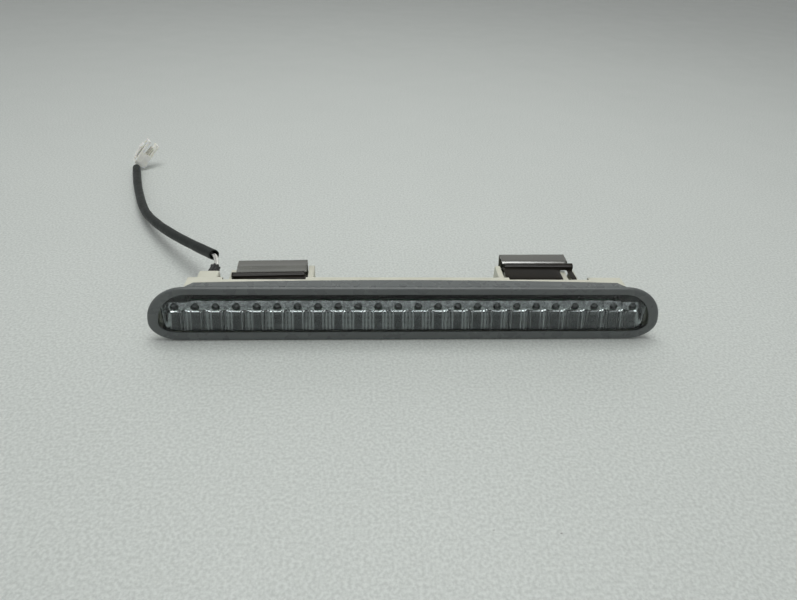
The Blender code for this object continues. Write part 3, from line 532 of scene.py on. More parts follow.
def metallised():
    """Vacuum-metallised plastic with painted light: near-white matte lines on the flutes' crests and a near-white
    ledge band as painted highlights, and painted shade on the floor between them and in patches on the scoop.
    """
    material, tree, shader, colour = surface(
        "metallised_plastic", (0.76, 0.78, 0.78), (0.88, 0.90, 0.90), (0.09, 0.17),
        0.7 * MM, 0.006 * MM, metallic=1.0, patch=5 * MM,
    )
    x, _, z = position(tree)
    half_cell = LED_PITCH / 2
    from_led = maths(tree, "PINGPONG", maths(tree, "SUBTRACT", x, FIRST_LED_X), half_cell)
    share = maths(tree, "DIVIDE", from_led, half_cell)
    crest_width = 0.07
    stops = []
    for number in (1.5, 2.5):
        crest = number * FLUTE_PITCH / half_cell
        stops += [(crest - crest_width, 0.0), (crest, 1.0), (crest + crest_width, 0.0)]
    crests = ramp(tree, share, stops)
    rise = maths(tree, "MULTIPLY", maths(tree, "POWER", share, 3.0), LEDGE_RISE)
    over = maths(tree, "SUBTRACT", z, maths(tree, "ADD", rise, LED_Z - LEDGE_DROP))
    below = maths(tree, "LESS_THAN", over, -LEDGE_BEVEL)
    above = maths(tree, "GREATER_THAN", over, 0.0)
    ledge = maths(tree, "COMPARE", over, -LEDGE_BEVEL / 2, LEDGE_BEVEL / 2)
    # Painted shade in random patches on the scoop above the ledge.
    facets = ramp(tree, noise(tree, 1.6 * MM, 2.0), [(0.42, 0.0), (0.56, 0.75)])
    shaded = maths(tree, "MULTIPLY", above, facets)
    cup = mix(tree, shaded, colour, (0.34, 0.35, 0.35))
    # Painted shade: below the ledge the colour is taken halfway to dark grey.
    floor_shaded = mix(tree, maths(tree, "MULTIPLY", below, 0.5), cup, (0.26, 0.27, 0.27))
    # Painted highlights: near white on the flutes' crests below the ledge and on the ledge band.
    bright = maths(tree, "MULTIPLY", crests, maths(tree, "MULTIPLY", below, 0.85))
    bright = maths(tree, "MAXIMUM", bright, ledge)
    tree.links.new(mix(tree, bright, floor_shaded, (0.97, 0.98, 0.98)), shader.inputs["Base Color"])
    # Less metal on the crest highlights and a little on the scoop, so their light colour shows from every side.
    cup_matte_share = maths(tree, "MULTIPLY", above, 0.15)
    crest_matte_share = maths(tree, "MULTIPLY", crests, below)
    highlight_matte_share = maths(tree, "MULTIPLY", maths(tree, "MAXIMUM", cup_matte_share, crest_matte_share), 0.6)
    tree.links.new(maths(tree, "SUBTRACT", 1.0, highlight_matte_share), shader.inputs["Metallic"])
    return material


def clear_epoxy():
    """Clear epoxy with a painted reflection: its upward-facing side is coloured light, standing in for the light
    of the bright cup; its lower side is dark.
    """
    material, tree, shader, colour = surface(
        "clear_epoxy", (0.03, 0.033, 0.033), (0.07, 0.074, 0.074), (0.12, 0.25),
        1.0 * MM, 0.002 * MM,
    )
    facing = add_node(tree, "NewGeometry")
    split = add_node(tree, "SeparateXYZ")
    tree.links.new(facing.outputs["Normal"], split.inputs["Vector"])
    # Painted reflection: the colour lightens where the normal points up.
    lit = ramp(tree, split.outputs["Z"], [(0.30, 0.0), (0.62, 0.85)])
    tree.links.new(mix(tree, lit, colour, (0.62, 0.64, 0.64)), shader.inputs["Base Color"])
    shader.inputs["Coat Weight"].default_value = 0.6
    return material


def butyl():
    return surface(
        "black_butyl", (0.012, 0.012, 0.012), (0.03, 0.03, 0.03), (0.6, 0.8),
        0.8 * MM, 0.05 * MM,
    )[0]


def solder_mask():
    """Green board with copper runs showing as lighter lines under the mask."""
    material, tree, shader, colour = surface(
        "board_green", (0.015, 0.10, 0.045), (0.03, 0.15, 0.07), (0.3, 0.42),
        0.6 * MM, 0.01 * MM,
    )
    space = add_node(tree, "TexCoord")
    runs = add_node(tree, "TexBrick", Scale=90.0, Mortar_Size=0.03, Row_Height=0.4)
    turn = add_node(tree, "Mapping", Rotation=(math.radians(90), 0, 0))
    tree.links.new(space.outputs["Object"], turn.inputs["Vector"])
    tree.links.new(turn.outputs["Vector"], runs.inputs["Vector"])
    masked = mix(tree, runs.outputs["Fac"], colour, (0.06, 0.24, 0.11))
    tree.links.new(masked, shader.inputs["Base Color"])
    return material


def zinc():
    return surface(
        "zinc_plate", (0.42, 0.42, 0.40), (0.66, 0.66, 0.62), (0.28, 0.45),
        0.3 * MM, 0.01 * MM, metallic=1.0, patch=1.5 * MM,
    )[0]


def chip_epoxy():
    return surface(
        "chip_epoxy", (0.02, 0.02, 0.02), (0.04, 0.04, 0.04), (0.4, 0.55),
        0.2 * MM, 0.01 * MM,
    )[0]


def spring_steel(name, dark, light, edge_highlight_colour):
    """Dark oiled spring steel: drawn lines along the strip, heat-tint and a few rust stains."""
    material, tree, shader, colour = surface(
        name, dark, light, (0.16, 0.26), 0.5 * MM, 0.004 * MM, patch=14 * MM, stretch=(0.35, 1, 1)
    )
    shader.inputs["IOR"].default_value = 2.6
    stains = ramp(tree, noise(tree, 7 * MM, 6.0, roughness=0.7), [(0.60, 0.0), (0.74, 0.5)])
    stained = mix(tree, stains, colour, (0.075, 0.052, 0.030))
    # Painted highlight along the sheet's edges.
    painted_edge_highlight(tree, shader, stained, edge_highlight_colour, 0.5, 0.3 * MM)
    bump(tree, shader, noise(tree, 0.25 * MM, 2.0, (0.03, 1, 1)), 0.004 * MM)
    return material


def oiled_hem():
    """The rolled hems, tongues and legs: the clip steel painted near black as shade, with a weaker gloss."""
    material = spring_steel(
        "oiled_hem_steel", (0.007, 0.006, 0.004), (0.016, 0.013, 0.009), (0.04, 0.036, 0.028)
    )
    shader = material.node_tree.nodes["Principled BSDF"]
    shader.inputs["IOR"].default_value = 1.3
    return material


def black_rubber():
    return surface(
        "black_rubber", (0.010, 0.011, 0.011), (0.022, 0.023, 0.023), (0.55, 0.75),
        0.4 * MM, 0.02 * MM, patch=3 * MM,
    )[0]


def black_sleeving():
    """Satin black-green tube, scuffed along its length."""
    material, tree, shader, colour = surface(
        "black_sleeving", (0.005, 0.008, 0.007), (0.013, 0.018, 0.016), (0.40, 0.55),
        0.6 * MM, 0.02 * MM, patch=9 * MM,
    )
    shader.inputs["Specular IOR Level"].default_value = 0.3
    scuffs = ramp(tree, noise(tree, 3 * MM, 6.0, roughness=0.75), [(0.66, 0.0), (0.74, 0.6)])
    tree.links.new(mix(tree, scuffs, colour, (0.07, 0.075, 0.07)), shader.inputs["Base Color"])
    return material


def wire_insulation(name, dark, light):
    return surface(name, dark, light, (0.3, 0.45), 0.3 * MM, 0.006 * MM, patch=4 * MM)[0]


def natural_nylon():
    """Unpigmented nylon: milky, slightly translucent."""
    material, tree, shader, colour = surface(
        "natural_nylon", (0.82, 0.82, 0.77), (0.92, 0.92, 0.88), (0.32, 0.48),
        0.3 * MM, 0.008 * MM, patch=5 * MM,
    )
    shader.inputs["Subsurface Weight"].default_value = 0.35
    shader.inputs["Subsurface Radius"].default_value = (1.2 * MM, 1.1 * MM, 0.8 * MM)
    shader.inputs["Subsurface Scale"].default_value = 1.0
    # Painted highlight along the nylon's edges.
    painted_edge_highlight(tree, shader, colour, (0.92, 0.92, 0.88), 0.5, 0.3 * MM)
    return material


def tinned_brass():
    return surface(
        "tinned_brass", (0.50, 0.47, 0.38), (0.74, 0.72, 0.64), (0.22, 0.4),
        0.3 * MM, 0.01 * MM, metallic=1.0, patch=1 * MM,
    )[0]


def table_top():
    """Pale grey-green laminate with a fine sandy grain and a few dark specks."""
    material, tree, shader, colour = surface(
        "table_top", (0.560, 0.592, 0.570), (0.600, 0.632, 0.610), (0.42, 0.55),
        2.0 * MM, 0.22 * MM, patch=160 * MM,
    )
    grain = ramp(tree, noise(tree, 1.8 * MM, 4.0), [(0.36, 0.0), (0.64, 1.0)])
    sandy = mix(tree, grain, (0.485, 0.515, 0.495), (0.675, 0.710, 0.685))
    blended = mix(tree, 0.7, colour, sandy)
    specks = ramp(tree, noise(tree, 3.0 * MM, 2.0), [(0.205, 0.8), (0.225, 0.0)])
    tree.links.new(mix(tree, specks, blended, (0.14, 0.14, 0.13)), shader.inputs["Base Color"])
    return material


# ---------------------------------------------------------------- lens


def corner(centre_x, half_x, half_z, start, inset):
    """A quarter of an ellipse, pulled in square to itself by the inset."""
    points = []
    for i in range(CORNER_STEPS + 1):
        angle = math.radians(start + 90 * i / CORNER_STEPS)
        normal = Vector((math.cos(angle) / half_x, math.sin(angle) / half_z)).normalized()
        edge = Vector((centre_x + half_x * math.cos(angle), WIDEST_Z + half_z * math.sin(angle)))
        points.append(edge - normal * inset)
    return points


def lens_outline(inset):
    """(x, z) points round the lens, anticlockwise from the bottom right."""
    upper_x = HALF_WIDTH - UPPER_CORNER_X
    lower_x = HALF_WIDTH - LOWER_CORNER_X
    upper_z = HEIGHT - WIDEST_Z
    return (
        corner(lower_x, LOWER_CORNER_X, WIDEST_Z, -90, inset)
        + corner(upper_x, UPPER_CORNER_X, upper_z, 0, inset)[1:]
        + corner(-upper_x, UPPER_CORNER_X, upper_z, 90, inset)
        + corner(-lower_x, LOWER_CORNER_X, WIDEST_Z, 180, inset)[1:]
    )


def outline_ring(inset, y, lift=0.0):
    """The outline at one depth; the lift raises its upper part, most of all at the top."""
    ring = []
    for point in lens_outline(inset):
        up = max(0.0, (point.y - WIDEST_Z) / (HEIGHT - WIDEST_Z - inset))
        ring.append(Vector((point.x, y, point.y + lift * up * up)))
    return ring


def outline_limits(inset, x):
    """Lowest and highest z of the inset outline at x."""

    def reach(corner_x, edge):
        flat = HALF_WIDTH - corner_x
        past = (abs(x) - flat) / (corner_x - inset)
        return edge * math.sqrt(max(0.0, 1 - past * past)) if past > 0 else edge

    low = WIDEST_Z - reach(LOWER_CORNER_X, WIDEST_Z - inset)
    high = WIDEST_Z + reach(UPPER_CORNER_X, HEIGHT - WIDEST_Z - inset)
    return low, high


def rail(name, low_z):
    """A rail behind the flange, with slanted ends and a bowed back edge."""
    high_z = low_z + RAIL_THICKNESS
    plan = [(RAIL_ENDS[0], SEAT_Y - RAIL_ROOT), (-RAIL_ENDS[0], SEAT_Y - RAIL_ROOT)]
    for i in range(RAIL_STEPS + 1):
        along = -1 + 2 * i / RAIL_STEPS
        plan.append((RAIL_ENDS[1] * along, RAIL_BACK_Y - RAIL_BOW * along * along))
    bm = bmesh.new()
    loft(bm, [[Vector((x, y, z)) for x, y in plan] for z in (low_z, high_z)])
    return new_object(name, mesh_from(bm, name))


def lens(rim, window):
    """The smoked front: rounded rim, tinted window, lip round the back, two rails."""
    rings = [outline_ring(RIM_WIDTH, FRONT_Y, RIM_NARROWING)]
    rings += [outline_ring(inset * MM, FRONT_Y + back * MM) for inset, back in RIM_ROUNDING]
    rings += [
        outline_ring(0.0, SEAT_Y - 0.2 * MM, -0.97 * SKIRT_DROP),
        outline_ring(0.2 * MM, SEAT_Y, -SKIRT_DROP),
        outline_ring(LIP_WIDTH, SEAT_Y),
        outline_ring(LIP_WIDTH, PLATE_BACK_Y),
        outline_ring(RIM_WIDTH - WINDOW_SPREAD, PLATE_BACK_Y, RIM_NARROWING),
    ]
    bm = bmesh.new()
    spans = loft(bm, rings)
    for face in spans[0] + spans[-1]:
        face.material_index = 1
    obj = new_object("lens", mesh_from(bm, "lens"), rim, window)
    join(obj, rail("lower_rail", RAIL_INSET))
    join(obj, rail("upper_rail", HEIGHT - RAIL_INSET - RAIL_THICKNESS))
    obj.data.shade_smooth()
    obj.data.set_sharp_from_angle(angle=math.radians(30))
    piece(obj, "lamp", ["outer_lens"])


# ---------------------------------------------------------------- optics


def cell_offset(x):
    """Distance from the nearest LED, and its share of half a cell."""
    number = min(max(round((x - FIRST_LED_X) / LED_PITCH), 0), LED_COUNT - 1)
    offset = x - (FIRST_LED_X + number * LED_PITCH)
    return offset, offset / (LED_PITCH / 2)


def ledge_up(across):
    """Height of the ledge over the LED's centre: lowest under the LED, raised between cells."""
    return LEDGE_RISE * abs(across) ** 3 - LEDGE_DROP


def mirror_depth(x, z):
    """Front face of the reflector: a fluted floor up to a ledge, then a scoop round each LED."""
    offset, across = cell_offset(x)
    up = z - LED_Z
    ledge = ledge_up(across)
    side = abs(across)
    y = MIRROR_PLANE_Y - CELL_BULGE * side ** 4
    scoop_start = SCOOP_START - SCOOP_SAG * side ** 2
    if up > scoop_start:
        y += SCOOP_SLOPE * (up - scoop_start)
    y -= LEDGE_STEP * min(1.0, max(0.0, (ledge - up) / LEDGE_BEVEL))
    if up < ledge:
        down = (ledge - up) / (ledge + LED_Z - MIRROR_LOW_Z)
        fluted = min(1.0, max(0.0, (abs(offset) - FLUTES_FROM) / FLUTES_FADE))
        fluted *= min(1.0, max(0.0, (ledge - up) / LEDGE_BEVEL - 0.6))
        ridge = 0.5 + 0.5 * math.cos(2 * math.pi * (offset / FLUTE_PITCH + 0.5))
        pillow = 0.5 + 0.5 * math.cos(2 * math.pi * z / PILLOW_PITCH)
        y -= FLOOR_CURVE * down ** 1.06
        y -= FLUTE_DEPTH * fluted * ridge ** 2
        y -= PILLOW_DEPTH * pillow ** 2
    beyond = abs(x) + FIRST_LED_X
    if beyond > 0:
        y -= (y - MIRROR_END_Y) * min(1.0, beyond / (LED_PITCH / 2)) ** 3
    return y


def mirror_top(x):
    """The reflector's upper edge, scalloped over each LED."""
    _, across = cell_offset(x)
    return LED_Z + MIRROR_TOP - MIRROR_SCALLOP * across * across


def reflector(material):
    """A thin shaped strip, with its LED holes snapped to true circles."""
    columns = LED_COUNT * CELL_COLUMNS
    bm = bmesh.new()
    grid = []
    for i in range(columns + 1):
        x = FIRST_LED_X + (i / CELL_COLUMNS - 0.5) * LED_PITCH
        low, high = outline_limits(MIRROR_INSET, x)
        low = max(low, MIRROR_LOW_Z)
        high = min(high, mirror_top(x))
        column = []
        for j in range(CELL_ROWS + 1):
            z = low + (high - low) * j / CELL_ROWS
            offset, _ = cell_offset(x)
            spot = Vector((offset, z - LED_Z))
            if abs(spot.length - HOLE_RADIUS) < HOLE_SNAP:
                spot = spot.normalized() * HOLE_RADIUS
            at_x = x - offset + spot.x
            at_z = LED_Z + spot.y
            column.append(bm.verts.new((at_x, mirror_depth(at_x, at_z), at_z)))
        grid.append(column)
    for near, far in zip(grid, grid[1:]):
        for j in range(CELL_ROWS):
            corners = (near[j], far[j], far[j + 1], near[j + 1])
            middle = sum((vert.co for vert in corners), Vector()) / 4
            offset, _ = cell_offset(middle.x)
            if math.hypot(offset, middle.z - LED_Z) > HOLE_RADIUS:
                bm.faces.new(corners)
    loose = [vert for vert in bm.verts if not vert.link_faces]
    bmesh.ops.delete(bm, geom=loose, context="VERTS")
    name = "metallised_reflector"
    obj = new_object(name, mesh_from(bm, name), material, sharp=14)
    wall = obj.modifiers.new("wall", "SOLIDIFY")
    wall.thickness = MIRROR_WALL
    wall.offset = -1.0
    piece(obj, "lamp", ["reflector"])


def leds(material):
    """Clear domed LEDs, one for each CAD one."""
    for name in sorted(frame["nodes"]):
        if not name.startswith("led_"):
            continue
        low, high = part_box(name)
        length = high.y - low.y
        profile = []
        for i in range(DOME_STEPS + 1):
            angle = math.radians(89.0 - 89.0 * i / DOME_STEPS)
            height = length - DOME_RADIUS * (1 - math.sin(angle))
            profile.append((DOME_RADIUS * math.cos(angle), height))
        flange = (high.x - low.x) / 2
        profile += [(DOME_RADIUS, LED_FLANGE), (flange, LED_FLANGE), (flange, 0.0)]
        centre = Vector(((low.x + high.x) / 2, high.y, (low.z + high.z) / 2))
        matrix = Matrix.Translation(centre) @ Matrix.Rotation(math.radians(90), 4, "X")
        new_name = name + "_dome"
        obj = new_object(new_name, turned(new_name, profile, 28, matrix), material)
        piece(obj, "lamp", [name])


# ---------------------------------------------------------------- spring clips


def arc(centre, radius, start, end, steps):
    """(distance, height) points on an arc, angles in degrees from straight towards the lens."""
    points = []
    for i in range(steps + 1):
        angle = math.radians(start + (end - start) * i / steps)
        points.append((centre[0] + radius * math.cos(angle), centre[1] + radius * math.sin(angle)))
    return points


def sheet_part(bm, side, columns, section):
    """Skins a section of (distance from the crest, height) points across the columns."""
    rows = [
        [bm.verts.new((side * across, -distance, height)) for across in columns]
        for distance, height in section
    ]
    for near, far in zip(rows, rows[1:]):
        for a, b, c, d in zip(near, near[1:], far[1:], far):
            bm.faces.new((a, b, c, d))


def spread(low, high, count):
    return [low + (high - low) * i / count for i in range(count + 1)]


def clip_sections(node):
    """The upper arm's mid-sheet sections, as (distance, height over the middle) points."""
    top = MOUNTS["left_clip_grip"]["pos_m"][2] - MIDDLE_Z - CLIP_SHEET / 2
    bend_start, bend_end = CLIP_BENDS[node]
    roll_back, roll_drop = CLIP_ROLLS[node]
    back = [(2.5 * MM, 0.0), (2.1 * MM, 0.45 * top), (0.7 * MM, 0.80 * top)]
    crest = arc((1.5 * MM, top - CREST_RADIUS), CREST_RADIUS, 180, 90, 6)
    bend = [(bend_start - 0.6 * MM, top), (bend_start, top - 0.06 * MM)]
    bend += [(bend_start + 0.6 * MM, top - 0.22 * MM), (bend_end, top - CLIP_BEND_DROP)]
    centre = (roll_back, top + CLIP_SHEET / 2 - roll_drop)
    roll = arc(centre, ROLL_RADIUS - CLIP_SHEET / 2, 128, -205, 26)
    plate = back + crest + [(5.5 * MM, top + 0.06 * MM)] + bend + roll[:1]
    tongue_z = centre[1] - 0.1 * MM
    tongue = [(roll_back + 0.4 * MM, tongue_z), (roll_back + 3.0 * MM, tongue_z + 0.25 * MM)]
    tongue += [(CLIP_LENGTH - 5 * MM, tongue_z), (CLIP_LENGTH - 1 * MM, tongue_z - 0.35 * MM)]
    leg = [(roll_back - 0.5 * MM, centre[1] - 1.2 * MM), (roll_back + 2 * MM, tongue_z - 0.6 * MM)]
    leg += [(CLIP_LENGTH - 4 * MM, tongue_z - 0.2 * MM), (CLIP_LENGTH, tongue_z - 0.3 * MM)]
    return plate, roll, tongue, leg


def spring_clip(node, side, material, shaded_material):
    """Folded spring sheet: plate, rolled hem, tongue and leg above and below, joined at the back."""
    plate, roll, tongue, leg = clip_sections(node)
    half = CLIP_HALF_WIDTH
    grip = Vector(MOUNTS[node + "_grip"]["pos_m"])
    place = Matrix.Translation((grip.x, grip.y + GRIP_SETBACK, MIDDLE_Z))
    place = place @ Matrix.Rotation(math.radians(CLIP_TURNS[node]), 4, "Z")
    groups = {
        "sheet": (spread(-half, half, 24), plate),
        "tongue": (spread(-half, TONGUE_EDGE, 12), tongue),
        "leg": (spread(*LEG_EDGES, 3), leg),
        "hem": (spread(ROLL_OVERHANG / 2 - half, half + ROLL_OVERHANG, 24), roll),
    }
    for suffix, (columns, section) in groups.items():
        bm = bmesh.new()
        sheet_part(bm, side, columns, section)
        sheet_part(bm, side, columns, [(distance, -height) for distance, height in section])
        bmesh.ops.remove_doubles(bm, verts=bm.verts, dist=0.02 * MM)
        for vert in bm.verts:
            ripple = math.sin(vert.co.x / (9 * MM)) * math.sin(vert.co.y / (6 * MM) + side)
            vert.co.z += CLIP_RIPPLE * ripple * (1 if vert.co.z > 0 else -1)
        bm.transform(place)
        name = f"{node}_{suffix}"
        # Hem, tongue and leg get the steel with painted shade; the plate keeps the plain steel.
        chosen = material if suffix == "sheet" else shaded_material
        obj = new_object(name, mesh_from(bm, name), chosen)
        wall = obj.modifiers.new("wall", "SOLIDIFY")
        wall.thickness = CLIP_SHEET
        wall.offset = 0.0
        round_edges(obj, 0.16 * MM, 2)
        piece(obj, node, [node] if suffix == "sheet" else ())


# ---------------------------------------------------------------- cable


def boot_ring(along, size, groove=0.0, drift=0.0):
    """A ring of the boot behind the boss: its grooves cut a share of its radius."""
    centre_x = (BOOT_LOW.x + BOOT_HIGH.x) / 2
    centre_z = (BOOT_LOW.z + BOOT_HIGH.z) / 2
    centre = Vector((centre_x - drift, BOSS_BACK_Y + along, centre_z))
    sides = 12 * BOOT_RIBS
    points = []
    for i in range(sides):
        angle = 2 * math.pi * i / sides
        reach = size * (1 - groove * (0.5 - 0.5 * math.cos(BOOT_RIBS * angle)) ** 2)
        points.append(centre + Vector((reach * math.cos(angle), 0, reach * math.sin(angle))))
    return points


def boot(material):
    """The rubber boot: round ribs along it, a soft flare at its mouth and its neck in the bore."""
    radius = (BOOT_HIGH.x - BOOT_LOW.x) / 2
    shoulder = 0.2 * MM
    neck_end = BOOT_LOW.y - BOSS_BACK_Y
    mouth = BOOT_HIGH.y - BOSS_BACK_Y
    rings = [boot_ring(neck_end, BOOT_BORE), boot_ring(neck_end, BOOT_NECK)]
    rings.append(boot_ring(shoulder / 2, BOOT_NECK))
    for i in range(BOOT_STEPS + 1):
        t = i / BOOT_STEPS
        swell = 1.0 - 0.10 * math.sin(math.pi * t) + 0.05 * math.cos(4 * math.pi * t)
        edge = 1 - 0.35 * max(0.0, abs(2 * t - 1) - 0.9) / 0.1
        along = shoulder + t * (mouth - shoulder)
        size = radius * swell * edge / 1.05
        rings.append(boot_ring(along, size, BOOT_GROOVE, BOOT_LEAN * (1 - t)))
    rings.append(boot_ring(mouth, BOOT_BORE))
    bm = bmesh.new()
    loft(bm, rings, capped=False)
    obj = new_object("rubber_boot", mesh_from(bm, "rubber_boot"), material, sharp=60)
    piece(obj, "lamp", ["cable_boot"])


def sleeve_points():
    """The sleeving's run behind the lamp, from near the boot to near the plug."""
    places = [
        (-142.0, 60.5, 31.0),
        (-161.5, 83.7, 25.0),
        (-187.8, 114.4, 18.5),
        (-211.4, 144.8, 13.5),
        (-230.4, 175.1, 9.6),
        (-251.1, 223.2, 5.6),
        (-262.5, 254.2, 4.6),
        (-273.3, 287.5, 4.6),
    ]
    return [Vector(point) * MM for point in places]


def sleeve(material):
    """The black sleeving: an open lip at each end and the slight flats where it bends."""
    path = spline_through(sleeve_points(), 20)

    def outer(t):
        lip = 0.12 * max(0.0, 1 - min(t, 1 - t) / 0.008)
        flats = 0.06 * math.sin(23 * t) + 0.05 * math.sin(61 * t + 1)
        return SLEEVE_RADIUS + (flats - lip) * MM

    mesh = hollow_tube("sleeving", path, outer, SLEEVE_BORE, 40)
    obj = new_object("sleeving", mesh, material)
    piece(obj, "cable", ["cable_sleeve"])


def blended_wire(name, node, points, material):
    """A wire tube through the points, curved between two bodies from its second point to its last but one; it
    hides the CAD wire.
    """
    path = spline_through(points, 10)
    obj = new_object(name, solid_tube(name, path, WIRE_RADIUS, 18), material)
    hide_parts(node)
    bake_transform(obj)


def wire(name, side, material):
    """One wire: it shows at the boot and at the plug, and hides in the bore and in the sleeve."""
    run = sleeve_points()
    beside = Vector((side * WIRE_SPACING, 0, 0))
    front = [
        CABLE_PIVOT + Vector((0, -9 * MM, 0)) + beside,
        CABLE_PIVOT + Vector((0, -0.5 * MM, 0)) + beside,
        CABLE_PIVOT + Vector((-0.8 * MM, 6.5 * MM, 0.9 * MM)) + beside,
        run[0] + beside * 1.1,
        run[0].lerp(run[1], 0.3) + beside * 1.2,
    ]
    blended_wire(
        f"wire_{name}_front", f"inner_wire_{name}", front, material
    )
    axis = plug_axis()
    beneath = -axis.cross(PLUG_SIDE) * side * WIRE_SPACING
    rear = [
        run[-2].lerp(run[-1], 0.5) + beside,
        run[-1] + beside,
        PLUG_POINT + Vector((-1.0, -3.6, -1.1)) * MM + beneath,
        PLUG_POINT + axis * 0.8 * MM + beneath,
        PLUG_POINT + axis * 1.8 * MM + beneath,
    ]
    blended_wire(
        f"wire_{name}_rear", f"cable_wire_{name}", rear, material
    )


# ---------------------------------------------------------------- plug


def plug_axis():
    """Direction from the cable into the mating end: square to the plug's side, along the latch."""
    low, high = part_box("connector_latch")
    tip = (low + high) / 2 - LATCH_PIVOT
    return (tip - PLUG_SIDE * tip.dot(PLUG_SIDE)).normalized()


def plug_matrix():
    """Local X towards the mating end, local Z towards the latch, zero where the wires enter."""
    axis = plug_axis()
    up = axis.cross(PLUG_SIDE)
    matrix = Matrix((axis, PLUG_SIDE, up)).transposed().to_4x4()
    matrix.translation = PLUG_POINT
    return matrix


def plug_block(name, low, high, material):
    """A box in the plug's own directions, sizes in millimetres."""
    bm = bmesh.new()
    add_box(bm, Vector(low) * MM, Vector(high) * MM)
    bm.transform(plug_matrix())
    return new_object(name, mesh_from(bm, name), material)


def plug(nylon):
    """The two-way plug: a block with two walls past its mating end, guide ribs and cavities."""
    body = plug_block("plug_body", (0, -5.5, -6.0), (14.0, 5.5, 6.0), nylon)
    additions = {
        "upper_wall": ((13.9, -5.3, 3.4), (28.0, 5.3, 5.9)),
        "lower_wall": ((13.9, -5.3, -5.9), (28.0, 5.3, -3.4)),
        "left_guide_rib": ((5.0, 5.4, -1.2), (14.0, 6.1, 1.2)),
        "right_guide_rib": ((5.0, -6.1, -1.2), (14.0, -5.4, 1.2)),
        "rear_collar": ((2.2, -5.9, -6.3), (4.2, 5.9, 6.2)),
    }
    for name, (low, high) in additions.items():
        join(body, plug_block(name, low, high, nylon))
    cuts = {
        "wire_mouth": ((-0.5, -1.9, -1.9), (2.4, 1.9, 1.9)),
        "right_cavity": ((7.0, -3.6, -1.0), (14.5, -1.4, 1.0)),
        "left_cavity": ((7.0, 1.4, -1.0), (14.5, 3.6, 1.0)),
        "upper_window": ((16.5, -2.2, 3.0), (25.5, 2.2, 6.4)),
        "key_corner": ((24.0, -6.0, -3.5), (29.0, -4.0, 3.5)),
        "underside_pocket": ((8.0, -2.6, -6.6), (12.0, 2.6, -5.2)),
    }
    for name, (low, high) in cuts.items():
        join(body, plug_block(name, low, high, nylon), "DIFFERENCE")
    merge_close_points(body.data, 0.01 * MM)
    body.data.shade_smooth()
    body.data.set_sharp_from_angle(angle=math.radians(30))
    piece(body, "plug", ["connector_housing"])


def latch(nylon):
    """The locking arm: a thin strip with its root, a tooth and a wider tip."""
    root = [(4.3, 6.4, 7.7), (6.0, 6.5, 8.0)]
    strip = [(7.2, 7.0, 8.3), (9.5, 7.1, 8.3), (13.0, 7.1, 8.3), (16.0, 7.1, 8.3)]
    tooth = [(16.6, 7.1, 9.3), (18.6, 7.1, 9.1)]
    tip = [(20.4, 7.1, 8.3), (22.3, 7.1, 8.2)]
    sections = [(2.9, root), (2.5, strip + tooth), (2.9, tip)]
    rings = []
    for half, section in sections:
        for x, bottom, top in section:
            corners = ((-half, bottom), (half, bottom), (half, top), (-half, top))
            rings.append([Vector((x, across, up)) * MM for across, up in corners])
    bm = bmesh.new()
    loft(bm, rings)
    bm.transform(plug_matrix())
    arm = new_object("plug_latch", mesh_from(bm, "plug_latch"), nylon)
    round_edges(arm, 0.22 * MM, 3, 30)
    piece(arm, "latch", ["connector_latch"])


# ---------------------------------------------------------------- CAD nodes that stay


def dress(names, material):
    """Gives CAD nodes that stay visible their finished material."""
    for name in names:
        mesh = frame["nodes"][name].data
        mesh.materials.clear()
        mesh.materials.append(material)


# ---------------------------------------------------------------- stage


def floor(material):
    bm = bmesh.new()
    bmesh.ops.create_grid(bm, x_segments=2, y_segments=2, size=FLOOR_HALF)
    obj = new_object("table_surface", mesh_from(bm, "table_surface"), material)
    obj.location.z = CAD_LOW.z - FLOOR_GAP


def area_light(name, place, target, size, power, colour):
    data = bpy.data.lights.new(name, "AREA")
    data.shape = "RECTANGLE"
    data.size = size[0]
    data.size_y = size[1]
    data.energy = power
    data.color = colour
    obj = bpy.data.objects.new(name, data)
    obj.location = place
    obj.rotation_mode = "QUATERNION"
    obj.rotation_quaternion = (Vector(target) - Vector(place)).to_track_quat("-Z", "Y")
    bpy.context.scene.collection.objects.link(obj)
    return obj


def soft_room():
    """A pale room: bright behind the lamp, dim in front of it, with a glow to each side."""
    world = bpy.data.worlds.new("soft_room")
    bpy.context.scene.world = world
    world.use_nodes = True
    tree = world.node_tree
    space = add_node(tree, "TexCoord")
    split = add_node(tree, "SeparateXYZ")
    tree.links.new(space.outputs["Generated"], split.inputs["Vector"])
    behind = ramp(
        tree, split.outputs["Z"],
        [(0.0, 0.35), (0.15, 0.70), (0.35, 1.0), (0.62, 0.95), (0.78, 0.30), (1.0, 0.25)],
    )
    ahead = ramp(
        tree, split.outputs["Z"],
        [(0.0, 0.12), (0.20, 0.17), (0.38, 1.0), (0.60, 0.95), (0.80, 0.40), (1.0, 0.30)],
    )
    backward = maths(tree, "MULTIPLY_ADD", split.outputs["Y"], 2.0, 0.4)
    backward.node.use_clamp = True
    room = mix(tree, backward, ahead, behind)
    sideways = maths(tree, "ABSOLUTE", split.outputs["X"])
    glow = ramp(tree, sideways, [(0.35, 0.0), (0.60, 0.55), (0.90, 0.45)])
    low_down = ramp(tree, split.outputs["Z"], [(0.25, 1.0), (0.6, 0.0)])
    side_glow = maths(tree, "MULTIPLY", glow, low_down)
    shade = mix(tree, side_glow, room, (0.80, 0.84, 0.82))
    background = tree.nodes["Background"]
    tree.links.new(shade, background.inputs["Color"])
    background.inputs["Strength"].default_value = ROOM_LIGHT


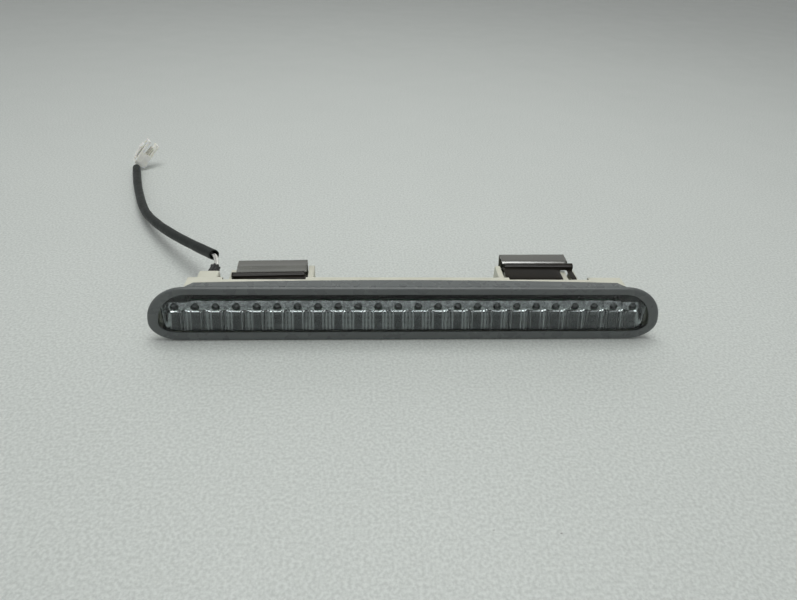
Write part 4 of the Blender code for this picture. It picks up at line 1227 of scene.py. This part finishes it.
def lights():
    """A window behind to the left, a lamp overhead, and a strip in front seen only as a gloss."""
    area_light(
        "back_window", (-0.6, 1.2, 1.6), (0, 0.05, 0), (1.6, 1.2), WINDOW_POWER, (0.98, 1.0, 0.985)
    )
    area_light(
        "ceiling_lamp", (0.0, 0.13, 1.3), (0, 0.1, 0), (1.0, 0.8), CEILING_POWER, (0.99, 1.0, 0.98)
    )
    strip = area_light("front_strip", (0.1, -0.9, 1.3), (0, 0, 0), (1.8, 0.55), STRIP_POWER, (1, 1, 1))
    strip.visible_diffuse = False


def camera():
    """Looks down on the lamp from in front."""
    data = bpy.data.cameras.new("front_view")
    data.lens = CAMERA_LENS
    data.sensor_width = CAMERA_SENSOR
    data.clip_start = 0.01
    obj = bpy.data.objects.new("front_view", data)
    obj.location = CAMERA_AT
    turn = math.radians(CAMERA_TURN)
    dip = math.radians(CAMERA_DIP)
    reach = math.cos(dip)
    forward = Vector((math.sin(turn) * reach, math.cos(turn) * reach, -math.sin(dip)))
    obj.rotation_mode = "QUATERNION"
    level = forward.to_track_quat("-Z", "Y")
    obj.rotation_quaternion = level @ Quaternion((0, 0, 1), math.radians(CAMERA_ROLL))
    bpy.context.scene.collection.objects.link(obj)
    bpy.context.scene.camera = obj
    bpy.context.scene.view_settings.view_transform = "Standard"


# ---------------------------------------------------------------- assembly


def build():
    nylon = natural_nylon()
    steel = spring_steel(
        "spring_steel", (0.034, 0.036, 0.025), (0.060, 0.062, 0.044), (0.15, 0.15, 0.12)
    )
    hem_steel = oiled_hem()
    screws = [name for name in frame["nodes"] if name.startswith("board_screw")]
    chips = [name for name in frame["nodes"] if name.startswith("resistor")] + ["diode"]

    lens(smoked_solid(), smoked_window())
    dress(["lens_seal"], butyl())
    dress(["housing"], cream_plastic())
    reflector(metallised())
    leds(clear_epoxy())
    dress(["circuit_board"], solder_mask())
    dress(screws, zinc())
    dress(chips, chip_epoxy())
    spring_clip("left_clip", -1, steel, hem_steel)
    spring_clip("right_clip", 1, steel, hem_steel)
    boot(black_rubber())
    sleeve(black_sleeving())
    white = wire_insulation("white_insulation", (0.70, 0.70, 0.66), (0.82, 0.82, 0.79))
    grey = wire_insulation("grey_insulation", (0.42, 0.42, 0.40), (0.55, 0.55, 0.53))
    wire("live", 1, white)
    wire("ground", -1, grey)
    plug(nylon)
    latch(nylon)
    dress(["terminal_1", "terminal_2"], tinned_brass())

    floor(table_top())
    lights()
    soft_room()
    camera()


build()
